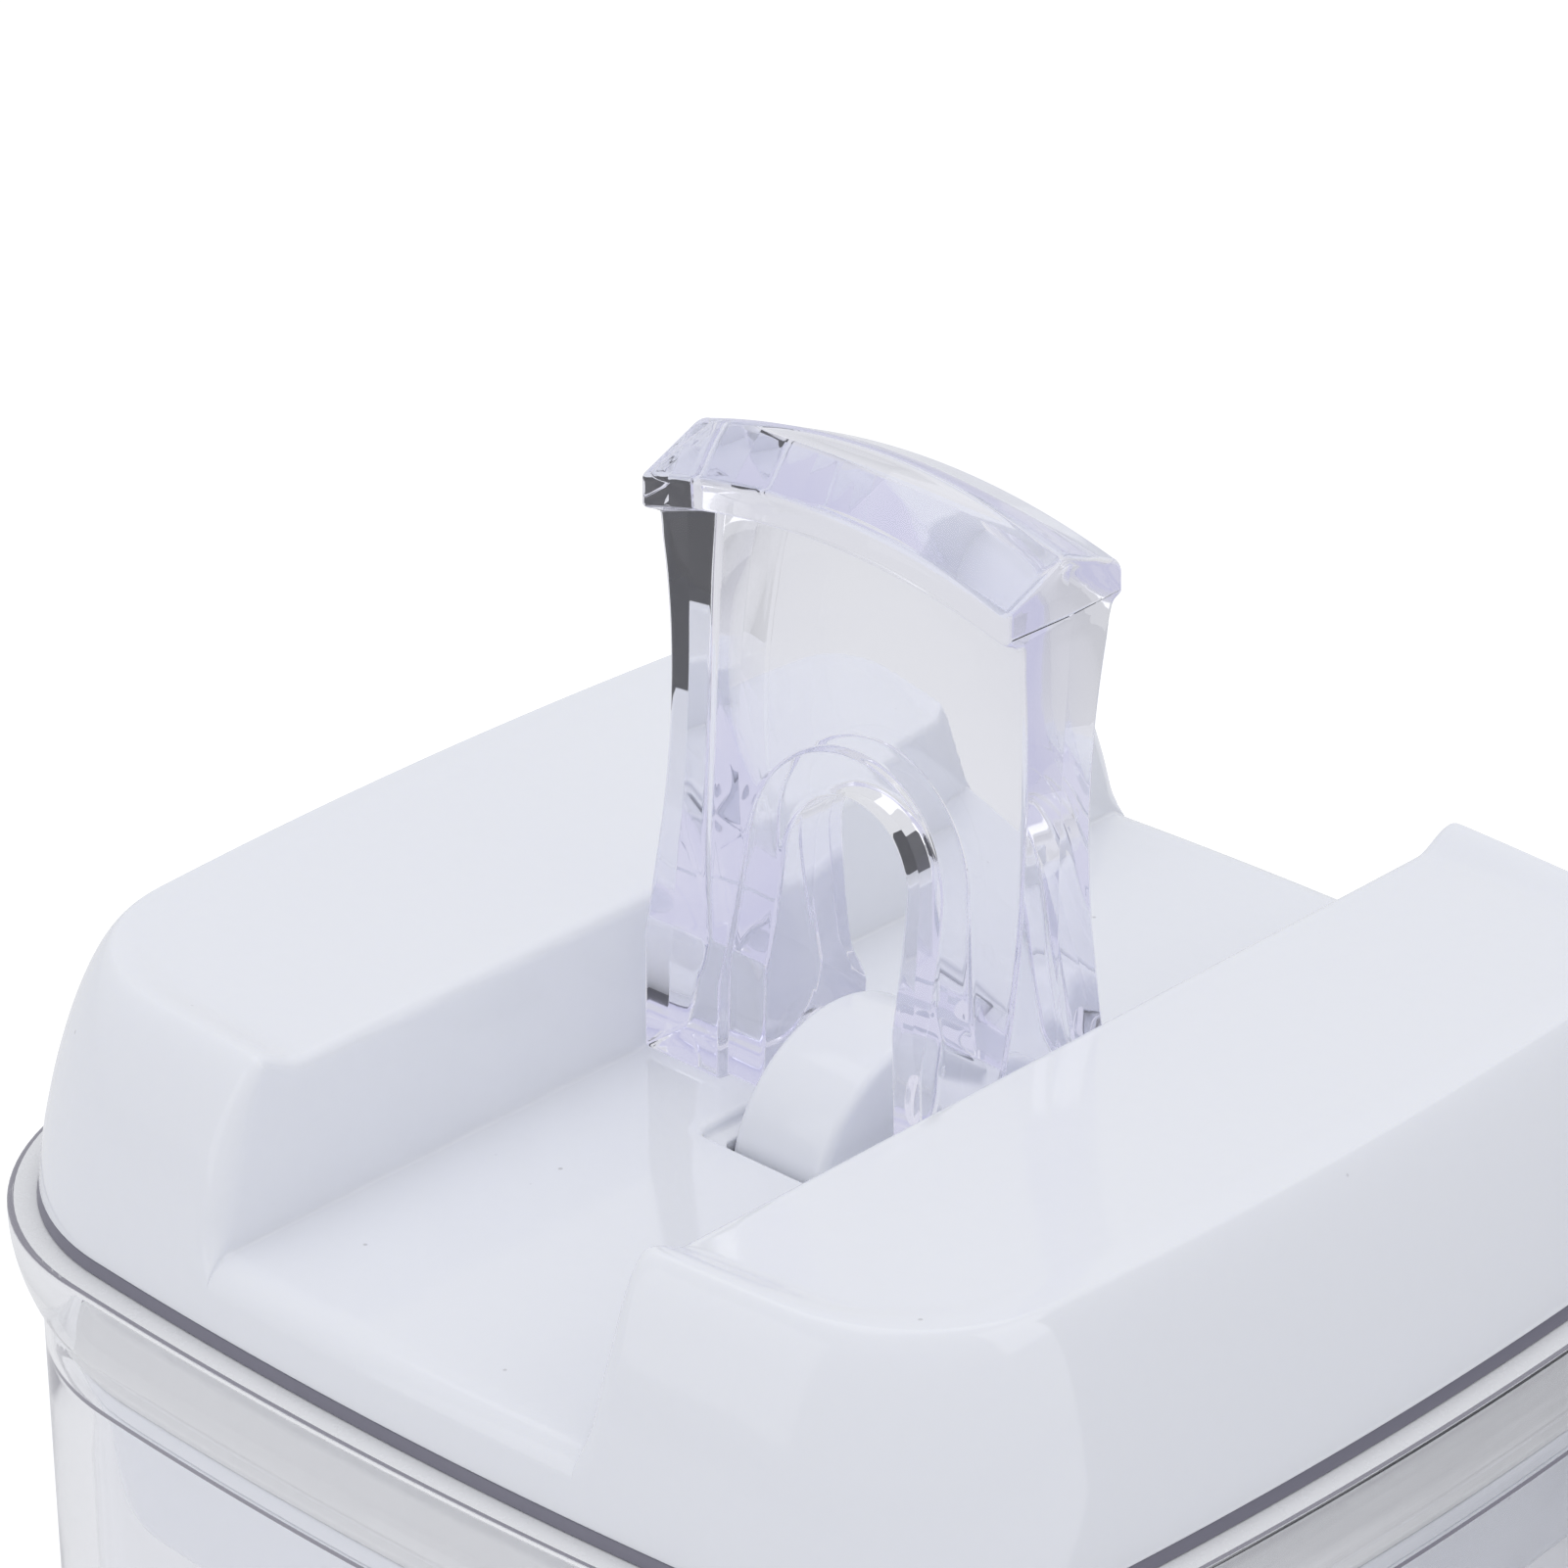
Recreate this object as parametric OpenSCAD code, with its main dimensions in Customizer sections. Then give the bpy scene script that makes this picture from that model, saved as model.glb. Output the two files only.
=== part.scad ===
// Square storage jar with a flip-lever lid: clear jar, white lid, clear lever.
// The lever stands on a lug in the lid's channel. Folding it down lifts the inner plate,
// which squeezes the silicone ring out against the jar's mouth.
// Millimetres, +Z up, origin under the middle of the jar. X runs across the channel, Y along it.

/* [Jar] */
// Height of the jar from the table to its rim
jar_h = 132; // [90:1:220]
// Half width of the jar's wall just under the rim, at the middle of a side
jar_half = 50.2; // [46:0.1:56]
// How much narrower each side is at the bottom than under the rim
jar_draft = 1.2; // [0:0.1:3]
// Thickness of the jar's wall
jar_wall = 2.4; // [1.8:0.1:3.2]
// Thickness of the jar's floor
jar_floor = 3.2; // [2.4:0.1:5]
// How far the flared rim stands out from the wall
rim_out = 2.2; // [1:0.1:3.5]
// Height of the flared rim
rim_h = 8.4; // [6:0.1:12]
// Depth of the wider mouth that the ring seals in
mouth_depth = 12; // [10:0.1:14]
// How far the wall steps in below the mouth
mouth_step = 0.5; // [0.2:0.1:1]
// Radius of the jar's corners at the wall
jar_corner = 20.2; // [16:0.1:24]
// Radius of the bowed sides, seen from above
bow_r = 365; // [250:5:600]
// Depth of the recess under the jar's floor
foot_recess = 0.8; // [0.4:0.1:1.4]
// Width of the foot ring that the jar stands on
foot_w = 5; // [3:0.1:8]

/* [Lid] */
// How far the lid's skirt stands in from the jar's wall
lid_set_in = 0.2; // [0:0.1:1]
// Height of the skirt below the channel floor
skirt_h = 5; // [4:0.1:7]
// Height of the blocks' raised rim above the channel floor
crest_h = 13.5; // [12.6:0.1:16]
// How far the scooped tops lie below their rim at the channel
dish_drop = 1.4; // [0.6:0.1:2.2]
// Radius of the scoop that runs across both tops
scoop_r = 500; // [450:10:900]
// How far the end walls curve in from the skirt to the rim
lean = 6.3; // [4:0.1:8]
// How far the side walls curve in from the skirt to the rim
lean_side = 5.2; // [4:0.1:8]
// Straight draft of the walls
lid_draft = 0.5; // [0.2:0.1:1]
// Width of the slope from the rim down into the scoop
rim_slope = 3.9; // [3:0.1:6]
// Wall thickness of the lid
lid_wall = 2.2; // [1.6:0.1:2.8]
// Thickness of the channel floor
floor_t = 2.4; // [1.8:0.1:3]
// Half width of the channel at its floor
channel_half = 17.9; // [17.6:0.1:20]
// How much wider each side of the channel is at the top
channel_draft = 0.4; // [0:0.1:1]
// Radius of the roll at the two ends of the channel floor
end_roll = 1.6; // [1:0.1:4]
// Height of the recessed lip that rests on the rim
lip_h = 1; // [0.6:0.1:1.4]
// How far the lip is set back behind the skirt
lip_set_back = 1.1; // [0.6:0.1:1.4]
// Half length of the shallow recess round the lug in the channel floor
recess_half_y = 12; // [11.8:0.1:14]
// Half width of the recess round the lug
recess_half_x = 6.2; // [5.6:0.1:6.6]
// Depth of the recess round the lug
recess_depth = 0.9; // [0.4:0.1:1.4]

/* [Lever] */
// Height of the bar's corners above the channel floor
lever_h = 46.2; // [42:0.1:47]
// Half width of the lever at its foot and bar
lever_half = 17; // [15:0.1:17.3]
// Rise of the arched bar from its ends to its middle
bar_arch = 2.6; // [1.5:0.1:3.4]
// Rise of the bar's ridge above its front and back edges
bar_crown = 2.6; // [1:0.1:3]
// Height of the bar's front and back faces
bar_end = 2.4; // [2:0.1:4]
// Half thickness of the bar and of the front of the foot
lever_thick = 5.9; // [5:0.1:6]
// Half thickness of the lever at its waist
waist_thick = 3.65; // [3:0.05:4.5]
// Half width of the lever at its waist
waist_half = 16.6; // [14:0.1:16.7]
// Height of the waist above the channel floor, at the front and sides
waist_z = 30.5; // [27:0.1:34]
// Height of the waist above the channel floor, at the back
back_waist_z = 26; // [25:0.1:34]
// Radius of the hollows at the lever's sides
side_hollow_r = 300; // [200:5:500]
// Radius of the hollows at the lever's front and back
face_hollow_r = 88; // [70:1:120]
// Depth of the chamfer under the bar
bar_chamfer = 1.4; // [0.8:0.1:2]
// Half width of the arched slot at the arch
arch_half = 5.7; // [5.2:0.1:6.5]
// Height of the arch's centre above the channel floor
arch_z = 20; // [17:0.1:22]
// How much wider each side of the slot is at the foot
arch_splay = 1.1; // [0.4:0.1:1.6]
// Width of the raised border round the slot
border_w = 3.3; // [2:0.1:4]
// How far the border stands out of the hollowed face
border_out = 0.9; // [0.4:0.1:1.2]
// Radius of the round thumb dish
dish_r = 10.5; // [8:0.1:12]
// Depth of the thumb dish
dish_depth = 0.8; // [0.4:0.1:1.2]
// Height of the thumb dish's centre above the channel floor
dish_z = 27.8; // [25:0.1:31]

/* [Mechanism] */
// Height of the lever's pivot above the channel floor
pivot_h = 3.4; // [3.2:0.1:3.8]
// Lift of the inner plate for each radian that the lever turns
cam_rate = 1.9; // [1.2:0.1:1.9]
// Radius of the lever's two pegs
peg_r = 2; // [1.5:0.1:2.2]
// Radius of the lug's round top
lug_r = 10.9; // [10:0.1:11.2]
// Half thickness of the lug
lug_half = 4.4; // [3.6:0.1:4.8]
// Depth of the lug's centre below the channel floor
lug_drop = 4; // [3.4:0.1:4.4]
// Radius of the lug's rounded edges
lug_round = 1.2; // [0.4:0.1:1.6]
// How far the plug stands in from the jar's wall
plug_inset = 4.5; // [4:0.1:5.5]
// Thickness of the plates under the lid
plate_t = 2.4; // [2:0.1:3]
// Depth of the plug's skirt below the under-plate
plug_skirt = 4; // [3:0.1:5]
// Height of the silicone ring at rest
gasket_h = 8; // [7:0.1:10]
// Width of the silicone ring
gasket_w = 4.6; // [4:0.1:5.4]
// How far the silicone ring stands out of the plug at rest
gasket_out = 0.8; // [0.4:0.1:1.2]
// Depth of the smooth cover under the inner plate
cover_depth = 12; // [9:0.1:16]
// How much narrower each side of that cover is at its bottom
cover_taper = 2.2; // [1:0.1:3]
// Distance of each return spring from the middle
spring_x = 24; // [22:0.1:30]
// Radius of the spring's coils at the middle of the wire
coil_r = 4.2; // [3.6:0.1:5]
// Diameter of the spring's wire
wire_d = 0.9; // [0.6:0.1:1.1]
// Number of coils in a spring
coils = 6; // [4:1:7]
// Distance of the base screws from the middle, across the channel
base_screw_x = 30; // [27:0.1:33]
// Distance of the base screws from the middle, along the channel
base_screw_y = 28; // [24:0.1:32]
// Distance of the stem screws from the middle
stem_screw_x = 10; // [9:0.1:12]
// Radius of a screw's shank
screw_r = 1.4; // [1.2:0.1:1.6]
// Radius of a screw's head
screw_head_r = 2.8; // [2.4:0.1:3.2]

/* [Fits] */
// Gap between a moving piece and what it slides past
slide_gap = 0.3; // [0.2:0.05:0.5]
// Gap between pieces that rest on each other
rest_gap = 0.1; // [0.05:0.05:0.2]
// Gap round a piece that drops into another
drop_gap = 0.2; // [0.1:0.05:0.4]
// Gap round a turning peg
run_gap = 0.05; // [0.02:0.01:0.1]

/* [Hidden] */
$fn = 48;
side_steps = 6;
corner_steps = 8;
ring_n = 4 * (side_steps + corner_steps);
overcut = 1;

// Heights on the assembled jar
rim_z = jar_h;
lip_z = rim_z + rest_gap;
skirt_z = lip_z + lip_h;
floor_z = skirt_z + skirt_h;
pivot_z = floor_z + pivot_h;
lift = cam_rate * PI / 2;

// Stack under the channel floor, measured down from the floor
base_top = floor_t + rest_gap;
base_bottom = base_top + plate_t;
plug_bottom = base_bottom + plug_skirt;
gasket_top = plug_bottom + rest_gap;
gasket_bottom = gasket_top + gasket_h;
deck_top = gasket_bottom + rest_gap;
deck_bottom = deck_top + plate_t;
cover_top = deck_bottom + rest_gap;
cover_bottom = cover_top + cover_depth;
spring_top = base_bottom + rest_gap;
spring_bottom = deck_top - rest_gap;

// Half widths of the lid and of the pieces in the mouth
lid_half = jar_half - lid_set_in;
mouth_half = jar_half - jar_wall;
plug_half = jar_half - plug_inset;
base_half = lid_half - lid_wall - drop_gap;
gasket_half = plug_half + gasket_out;
gasket_inner = gasket_half - gasket_w;

// Corners keep the same centre as the outline steps in or out
least_corner = 2;
function corner_r(half) = max(jar_corner - jar_half + half, least_corner);

// Points from a0 to a1 on a circle, in n steps
function arc(c, r, a0, a1, n) =
    [for (i = [0 : n]) let (a = a0 + (a1 - a0) * i / n) c + r * [cos(a), sin(a)]];

// One quarter of a square with bowed sides and round corners, tangent where they meet
function bowed_quarter(half, r) =
    let (
        side_x = half - bow_r,
        c = (side_x + sqrt(2 * pow(bow_r - r, 2) - side_x * side_x)) / 2,
        turn = atan2(c, c - side_x),
        side = arc([side_x, 0], bow_r, -turn, turn, side_steps),
        corner = arc([c, c], r, turn, 90 - turn, corner_steps)
    )
    concat(side, [for (i = [1 : corner_steps - 1]) corner[i]]);

function quarter_turn(p, q) =
    q == 0 ? p : quarter_turn([-p[1], p[0]], q - 1);

function bowed(half) =
    let (quarter = bowed_quarter(half, corner_r(half)))
    [for (q = [0 : 3]) each [for (p = quarter) quarter_turn(p, q)]];

function ring(half, z) = [for (p = bowed(half)) [p[0], p[1], z]];

// Two triangles for each step between two neighbouring rings
function skin(k0, k1, n) = [
    for (i = [0 : n - 1])
        let (j = (i + 1) % n)
        each [[k0 * n + i, k1 * n + i, k1 * n + j], [k0 * n + i, k1 * n + j, k0 * n + j]]
];

// A solid through a list of rings, closed by flat ends
module loft(rings) {
    n = len(rings[0]);
    last = len(rings) - 1;
    walls = [for (k = [0 : last - 1]) each skin(k, k + 1, n)];
    bottom = [for (i = [0 : n - 1]) i];
    top = [for (i = [n - 1 : -1 : 0]) last * n + i];
    polyhedron([for (r = rings) each r], concat(walls, [bottom, top]));
}

// A solid through a closed loop of rings, such as a seal
module loft_loop(rings) {
    n = len(rings[0]);
    count = len(rings);
    walls = [for (k = [0 : count - 1]) each skin(k, (k + 1) % count, n)];
    polyhedron([for (r = rings) each r], walls);
}

module bowed_plate(half, z0, z1) {
    translate([0, 0, z0]) linear_extrude(z1 - z0) polygon(bowed(half));
}

module bowed_frame(half, w, z0, z1) {
    difference() {
        bowed_plate(half, z0, z1);
        bowed_plate(half - w, z0 - overcut, z1 + overcut);
    }
}

// Puts its child at the four places (x, y), or the two places (x, 0)
module four_places(x, y) {
    for (sx = [-1, 1], sy = [-1, 1]) translate([sx * x, sy * y, 0]) children();
}

module two_places(x) {
    for (sx = [-1, 1]) translate([sx * x, 0, 0]) children();
}

module at_floor() {
    translate([0, 0, floor_z]) children();
}

// Jar: foot ring, drafted wall, flared rim, stepped mouth and rounded inside
base_r = 5;
inner_base_r = 4;
rim_round = 0.9;
mouth_chamfer = 0.6;
round_steps = 4;
bottom_half = jar_half - jar_draft;
wall_top = jar_h - rim_h;
rim_half = jar_half + rim_out;

function jar_outside() = concat(
    [
        ring(bottom_half - base_r - foot_w, foot_recess),
        ring(bottom_half - base_r - foot_w + foot_recess, 0)
    ],
    [for (i = [0 : round_steps])
        let (a = 90 * i / round_steps)
        ring(bottom_half - base_r * (1 - sin(a)), base_r * (1 - cos(a)))],
    [for (i = [0 : round_steps])
        let (t = i / round_steps)
        ring(jar_half + rim_out * (1 - cos(180 * t)) / 2, wall_top + t * (rim_h - 2 * rim_round))],
    [for (i = [1 : 3])
        let (a = 30 * i)
        ring(rim_half - rim_round * (1 - cos(a)), jar_h - rim_round * (1 - sin(a)))]
);

function jar_inside() = concat(
    [
        ring(mouth_half + mouth_chamfer, jar_h),
        ring(mouth_half, jar_h - mouth_chamfer),
        ring(mouth_half, jar_h - mouth_depth),
        ring(mouth_half - mouth_step, jar_h - mouth_depth - mouth_step)
    ],
    [for (i = [0 : round_steps])
        let (a = 90 * i / round_steps)
        ring(
            bottom_half - jar_wall - mouth_step - inner_base_r * (1 - cos(a)),
            jar_floor + inner_base_r * (1 - sin(a))
        )]
);

module jar_body() {
    color([0.93, 0.94, 0.98, 0.35]) loft(concat(jar_outside(), jar_inside()));
}

// Lid cover: a domed shell with a rimmed scoop, cut through by the lever's channel
wall_steps = 8;
slope_steps = 4;
scoop_steps = 4;
cut_margin = 10;
crest_in = lean + lid_draft;
side_widen = lean - lean_side;
channel_top_half = channel_half + channel_draft;
dish_top = crest_h - dish_drop;
boss_r = 3.4;
boss_bore_r = screw_r + run_gap;

// A ring that is wider across the channel than along it
function wide_ring(half, widen, z) =
    [for (p = bowed(half)) [p[0] * (half + widen) / half, p[1], z]];

// Wall of the dome, from the skirt up to the rim, for a given half width and height of the skirt
function dome_wall(half, top) = [
    for (i = [0 : wall_steps])
        let (a = 90 * i / wall_steps)
        wide_ring(
            half - lid_draft * sin(a) - lean * (1 - cos(a)),
            side_widen * (1 - cos(a)),
            -skirt_h + (top + skirt_h) * sin(a)
        )
];

// Height of the scooped top at a distance x from the middle of the channel
function scoop_z(x) = dish_top + (x * x - pow(channel_top_half, 2)) / (2 * scoop_r);

// A ring on the way from the rim down to the scoop, drawn in towards the channel by a share
function scoop_ring(half, down, share) =
    [for (p = wide_ring(half, side_widen, 0))
        let (x = p[0] * share)
        [x, p[1], crest_h + (scoop_z(x) - crest_h) * down]];

function lid_outside() =
    let (
        dish_half = lid_half - crest_in - rim_slope,
        least_share = channel_half / dish_half / 2
    )
    concat(
        [ring(lid_half - lip_set_back, -skirt_h - lip_h), ring(lid_half - lip_set_back, -skirt_h)],
        dome_wall(lid_half, crest_h),
        [for (i = [1 : slope_steps])
            let (s = i / slope_steps)
            scoop_ring(lid_half - crest_in - rim_slope * s, (1 - cos(180 * s)) / 2, 1)],
        [for (i = [1 : scoop_steps])
            scoop_ring(dish_half, 1, 1 - (1 - least_share) * i / scoop_steps)],
        [[for (p = bowed(dish_half)) [p[0] * least_share / 2, p[1], scoop_z(0)]]]
    );

function lid_inside() = concat(
    [ring(lid_half - lid_wall, -skirt_h - lip_h - overcut)],
    dome_wall(lid_half - lid_wall, dish_top - lid_wall)
);

// Everything above the channel floor: straight along Y, rolled down at both ends
module channel_cut() {
    roll_y = lid_half + overcut / 10 - end_roll;
    far = lid_half + cut_margin;
    high = crest_h + cut_margin;
    floor_line = concat(
        [[far, high], [-far, high], [-far, -end_roll]],
        arc([-roll_y, -end_roll], end_roll, 180, 90, 6),
        arc([roll_y, -end_roll], end_roll, 90, 0, 6),
        [[far, -end_roll]]
    );
    wide = channel_half + channel_draft * high / crest_h;
    low = channel_half - channel_draft * 2 * end_roll / crest_h;
    intersection() {
        rotate([90, 0, 90]) linear_extrude(4 * channel_half, center = true) polygon(floor_line);
        rotate([90, 0, 0]) linear_extrude(4 * far, center = true)
            polygon([[-low, -2 * end_roll], [low, -2 * end_roll], [wide, high], [-wide, high]]);
    }
}

module block_hollows() {
    core = channel_top_half + lid_wall;
    difference() {
        loft(lid_inside());
        translate([-core, -lid_half, -floor_t]) cube([2 * core, 2 * lid_half, crest_h + skirt_h]);
    }
}

module lid_cover() {
    color([0.93, 0.94, 0.96]) at_floor() {
        difference() {
            loft(lid_outside());
            channel_cut();
            block_hollows();
            translate([-recess_half_x, -recess_half_y, -recess_depth])
                cube([2 * recess_half_x, 2 * recess_half_y, recess_depth + overcut]);
            translate([-guide_x, -guide_y, -floor_t - overcut])
                cube([2 * guide_x, 2 * guide_y, floor_t + 2 * overcut]);
        }
        four_places(base_screw_x, base_screw_y) difference() {
            translate([0, 0, -floor_t]) cylinder(h = dish_top - lid_wall / 2 + floor_t, r = boss_r);
            translate([0, 0, -floor_t - overcut]) cylinder(h = screw_in + overcut, r = boss_bore_r);
        }
    }
}

// Under-plate of the lid: flange, plug skirt, seat of the silicone ring, stem guide, spring cups
screw_in = 8;
skirt_t = 2;
seat_t = 1.6;
guide_t = 1.6;
guide_h = 4;
cup_h = 2.4;
cup_t = 1.2;
coil_outer = coil_r + wire_d / 2;
guide_x = lug_half + slide_gap;
guide_y = lug_r + slide_gap;

module lid_base() {
    color([0.91, 0.92, 0.94]) at_floor() difference() {
        union() {
            bowed_plate(base_half, -base_bottom, -base_top);
            bowed_frame(plug_half, skirt_t, -plug_bottom, -base_bottom + rest_gap);
            bowed_frame(plug_half, gasket_w, -plug_bottom, -plug_bottom + seat_t);
            translate([-guide_x - guide_t, -guide_y - guide_t, -base_bottom - guide_h])
                cube([2 * (guide_x + guide_t), 2 * (guide_y + guide_t), guide_h + rest_gap]);
            two_places(spring_x) translate([0, 0, -base_bottom - cup_h])
                cylinder(h = cup_h + rest_gap, r = coil_outer + slide_gap + cup_t);
        }
        translate([-guide_x, -guide_y, -base_bottom - guide_h - overcut])
            cube([2 * guide_x, 2 * guide_y, guide_h + plate_t + 2 * overcut]);
        two_places(spring_x) translate([0, 0, -base_bottom - cup_h - overcut])
            cylinder(h = cup_h + overcut, r = coil_outer + slide_gap);
        four_places(base_screw_x, base_screw_y) translate([0, 0, -base_bottom - overcut])
            cylinder(h = plate_t + 2 * overcut, r = screw_r + drop_gap);
    }
}

// A pan-head screw, head down at z = 0, with its shank going up
head_h = 1.8;
head_taper = 0.5;
drive_r = 0.9;
drive_depth = 1;
tip_gap = 1;

module pan_screw(length) {
    difference() {
        union() {
            translate([0, 0, -head_h])
                cylinder(h = head_h, r1 = screw_head_r - head_taper, r2 = screw_head_r);
            cylinder(h = length, r = screw_r);
        }
        translate([0, 0, -head_h - overcut]) cylinder(h = drive_depth + overcut, r = drive_r, $fn = 6);
    }
}

module base_screws() {
    color([0.7, 0.71, 0.73]) at_floor() four_places(base_screw_x, base_screw_y)
        translate([0, 0, -base_bottom - rest_gap]) pan_screw(plate_t + screw_in - tip_gap);
}

// Silicone ring: a soft block with two lips on the outside and a groove on the inside
lip_in = 0.9;
lip_tip = 1.1;
lip_root = 3;
groove_in = 1;
groove_edge = 2;

module gasket() {
    section = [
        [gasket_inner, -gasket_bottom],
        [gasket_half - lip_in, -gasket_bottom],
        [gasket_half, -gasket_bottom + lip_tip],
        [gasket_half - lip_in, -gasket_bottom + lip_root],
        [gasket_half - lip_in, -gasket_top - lip_root],
        [gasket_half, -gasket_top - lip_tip],
        [gasket_half - lip_in, -gasket_top],
        [gasket_inner, -gasket_top],
        [gasket_inner, -gasket_top - groove_edge],
        [gasket_inner + groove_in, -(gasket_top + gasket_bottom) / 2],
        [gasket_inner, -gasket_bottom + groove_edge]
    ];
    color([0.86, 0.86, 0.86, 0.8]) at_floor() loft_loop([for (p = section) ring(p[0], p[1])]);
}

// Stem: the round lug that the lever turns on, its column, and the foot on the inner plate
stem_foot_edge = 4;
stem_foot_x = stem_screw_x + stem_foot_edge;
stem_foot_t = deck_top - rest_gap - base_bottom - guide_h - lift - slide_gap;

module lug() {
    corner = lug_r - lug_round;
    side = lug_half - lug_round;
    outline = concat(
        [[0, -lug_half]],
        arc([corner, -side], lug_round, -90, 0, 4),
        arc([corner, side], lug_round, 0, 90, 4),
        [[0, lug_half]]
    );
    translate([0, 0, -lug_drop]) rotate([0, 90, 0]) rotate_extrude() polygon(outline);
}

module stem() {
    color([0.95, 0.95, 0.97]) at_floor() difference() {
        union() {
            lug();
            translate([-lug_half, -lug_r, -deck_top + rest_gap])
                cube([2 * lug_half, 2 * lug_r, deck_top - rest_gap - lug_drop]);
            translate([-stem_foot_x, -lug_r, -deck_top + rest_gap])
                cube([2 * stem_foot_x, 2 * lug_r, stem_foot_t]);
        }
        translate([0, 0, pivot_h]) rotate([0, 90, 0])
            cylinder(h = 4 * lug_half, r = peg_r + run_gap, center = true);
        two_places(stem_screw_x) translate([0, 0, -deck_top - overcut])
            cylinder(h = stem_foot_t + 2 * overcut, r = boss_bore_r);
    }
}

module stem_screws() {
    color([0.7, 0.71, 0.73]) at_floor() two_places(stem_screw_x)
        translate([0, 0, -deck_bottom - rest_gap]) pan_screw(plate_t + stem_foot_t - tip_gap);
}

// Inner plate: deck under the silicone ring, fence inside it, and posts for the springs
fence_t = 1.5;
post_gap = 0.4;
post_r = coil_r - wire_d / 2 - post_gap;
fence_half = gasket_inner - slide_gap;
fence_top = deck_top - gasket_h + lift + slide_gap;
post_top = spring_top + lift + slide_gap;

module inner_plate() {
    color([0.93, 0.94, 0.96]) at_floor() difference() {
        union() {
            bowed_plate(plug_half, -deck_bottom, -deck_top);
            bowed_frame(fence_half, fence_t, -deck_top - rest_gap, -fence_top);
            two_places(spring_x) translate([0, 0, -deck_top - rest_gap])
                cylinder(h = deck_top + rest_gap - post_top, r = post_r);
        }
        two_places(stem_screw_x) translate([0, 0, -deck_bottom - overcut])
            cylinder(h = plate_t + 2 * overcut, r = screw_r + drop_gap);
    }
}

// Bottom cover: a smooth tapered pan that hides the screws from the food
cover_wall = 1.8;
cover_round = 2.4;

module bottom_cover() {
    low_half = plug_half - cover_taper;
    outside = concat(
        [for (i = [0 : round_steps])
            let (a = 90 * i / round_steps)
            ring(
                low_half - cover_round * (1 - sin(a)),
                -cover_bottom + cover_round * (1 - cos(a))
            )],
        [ring(plug_half, -cover_top)]
    );
    inside = [
        ring(plug_half - cover_wall, -cover_top),
        ring(low_half - cover_wall, -cover_bottom + cover_round),
        ring(low_half - cover_round, -cover_bottom + cover_wall)
    ];
    color([0.93, 0.94, 0.96]) at_floor() loft(concat(outside, inside));
}

// Return spring: a round wire swept up a helix that keeps clear of itself
wire_sides = 6;
coil_rings = 8;
spring_rings = coils * coil_rings;
spring_low = spring_bottom - wire_d / 2;
spring_high = spring_top + wire_d / 2;
spring_pitch = (spring_low - spring_high) / coils;

function coil_place(k) =
    let (a = 360 * k / coil_rings)
    [coil_r * cos(a), coil_r * sin(a), -spring_low + spring_pitch * k / coil_rings];

function wire_ring(k) =
    let (
        a = 360 * k / coil_rings,
        out = [cos(a), sin(a), 0],
        along = [-coil_r * sin(a), coil_r * cos(a), spring_pitch / 360 * 180 / PI],
        across = cross(out, along) / norm(along)
    )
    [for (i = [0 : wire_sides - 1])
        let (b = 360 * i / wire_sides)
        coil_place(k) + wire_d / 2 * (cos(b) * out - sin(b) * across)];

// Least distance between the wire's middle line and itself, a good part of a turn apart
coil_gap = min([
    for (i = [0 : spring_rings], j = [i + coil_rings / 2 : spring_rings])
        norm(coil_place(i) - coil_place(j)) - wire_d
]);
echo(least_gap_between_coils = coil_gap);

module return_spring(side) {
    color([0.72, 0.73, 0.75]) at_floor() translate([side * spring_x, 0, 0])
        loft([for (k = [0 : spring_rings]) wire_ring(k)]);
}

module return_spring_left() {
    return_spring(-1);
}

module return_spring_right() {
    return_spring(1);
}

// Lever: waisted block with an arched, ridged bar, a bordered slot, a thumb dish, and a cam on each foot
cam_steps = 10;
hollow_steps = 10;
bar_steps = 12;
bar_low = lever_h - bar_end;
bar_r = (lever_half * lever_half + bar_arch * bar_arch) / (2 * bar_arch);
lever_top = lever_h + bar_crown + bar_arch;
leg_half = arch_half + arch_splay;
peg_reach = lug_half - slide_gap;
foot_low = pivot_h - slide_gap;

// Rise of the arched bar above its ends
function bar_rise(x) = bar_arch - bar_r + sqrt(bar_r * bar_r - x * x);

// Hollow of a face between a foot and the bar: half sizes and heights, deepest at a waist
function hollow(least, r, waist, half, top) =
    let (
        foot = waist - sqrt(r * r - pow(r - (half - least), 2)),
        heights = [for (i = [0 : hollow_steps]) foot + (top - foot) * i / hollow_steps]
    )
    [for (z = heights) [least + r - sqrt(r * r - pow(z - waist, 2)), z]];

// The same points on the other side, in reverse order
function mirrored(points) =
    [for (i = [len(points) - 1 : -1 : 0]) [-points[i][0], points[i][1]]];

function front_outline() =
    let (
        right = concat(
            [[lever_half, 0]],
            hollow(waist_half, side_hollow_r, waist_z, lever_half, bar_low - bar_chamfer),
            [[lever_half, bar_low], [lever_half, lever_top + overcut]]
        )
    )
    concat(right, mirrored(right));

// The cam is the curve whose reach towards the floor grows evenly as the lever turns
function cam_curve() = [
    for (i = [0 : cam_steps])
        let (
            a = 90 * i / cam_steps,
            reach = foot_low + cam_rate * a * PI / 180
        )
        [reach * sin(a) + cam_rate * cos(a), pivot_h - reach * cos(a) + cam_rate * sin(a)]
];

// Outline of the lever below its bar, in a plane across the bar
function side_outline(least) = concat(
    cam_curve(),
    hollow(least, face_hollow_r, back_waist_z, lever_thick, lever_h),
    mirrored(hollow(least, face_hollow_r, waist_z, lever_thick, lever_h)),
    [[-lever_thick, pivot_h - foot_low]]
);

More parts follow.
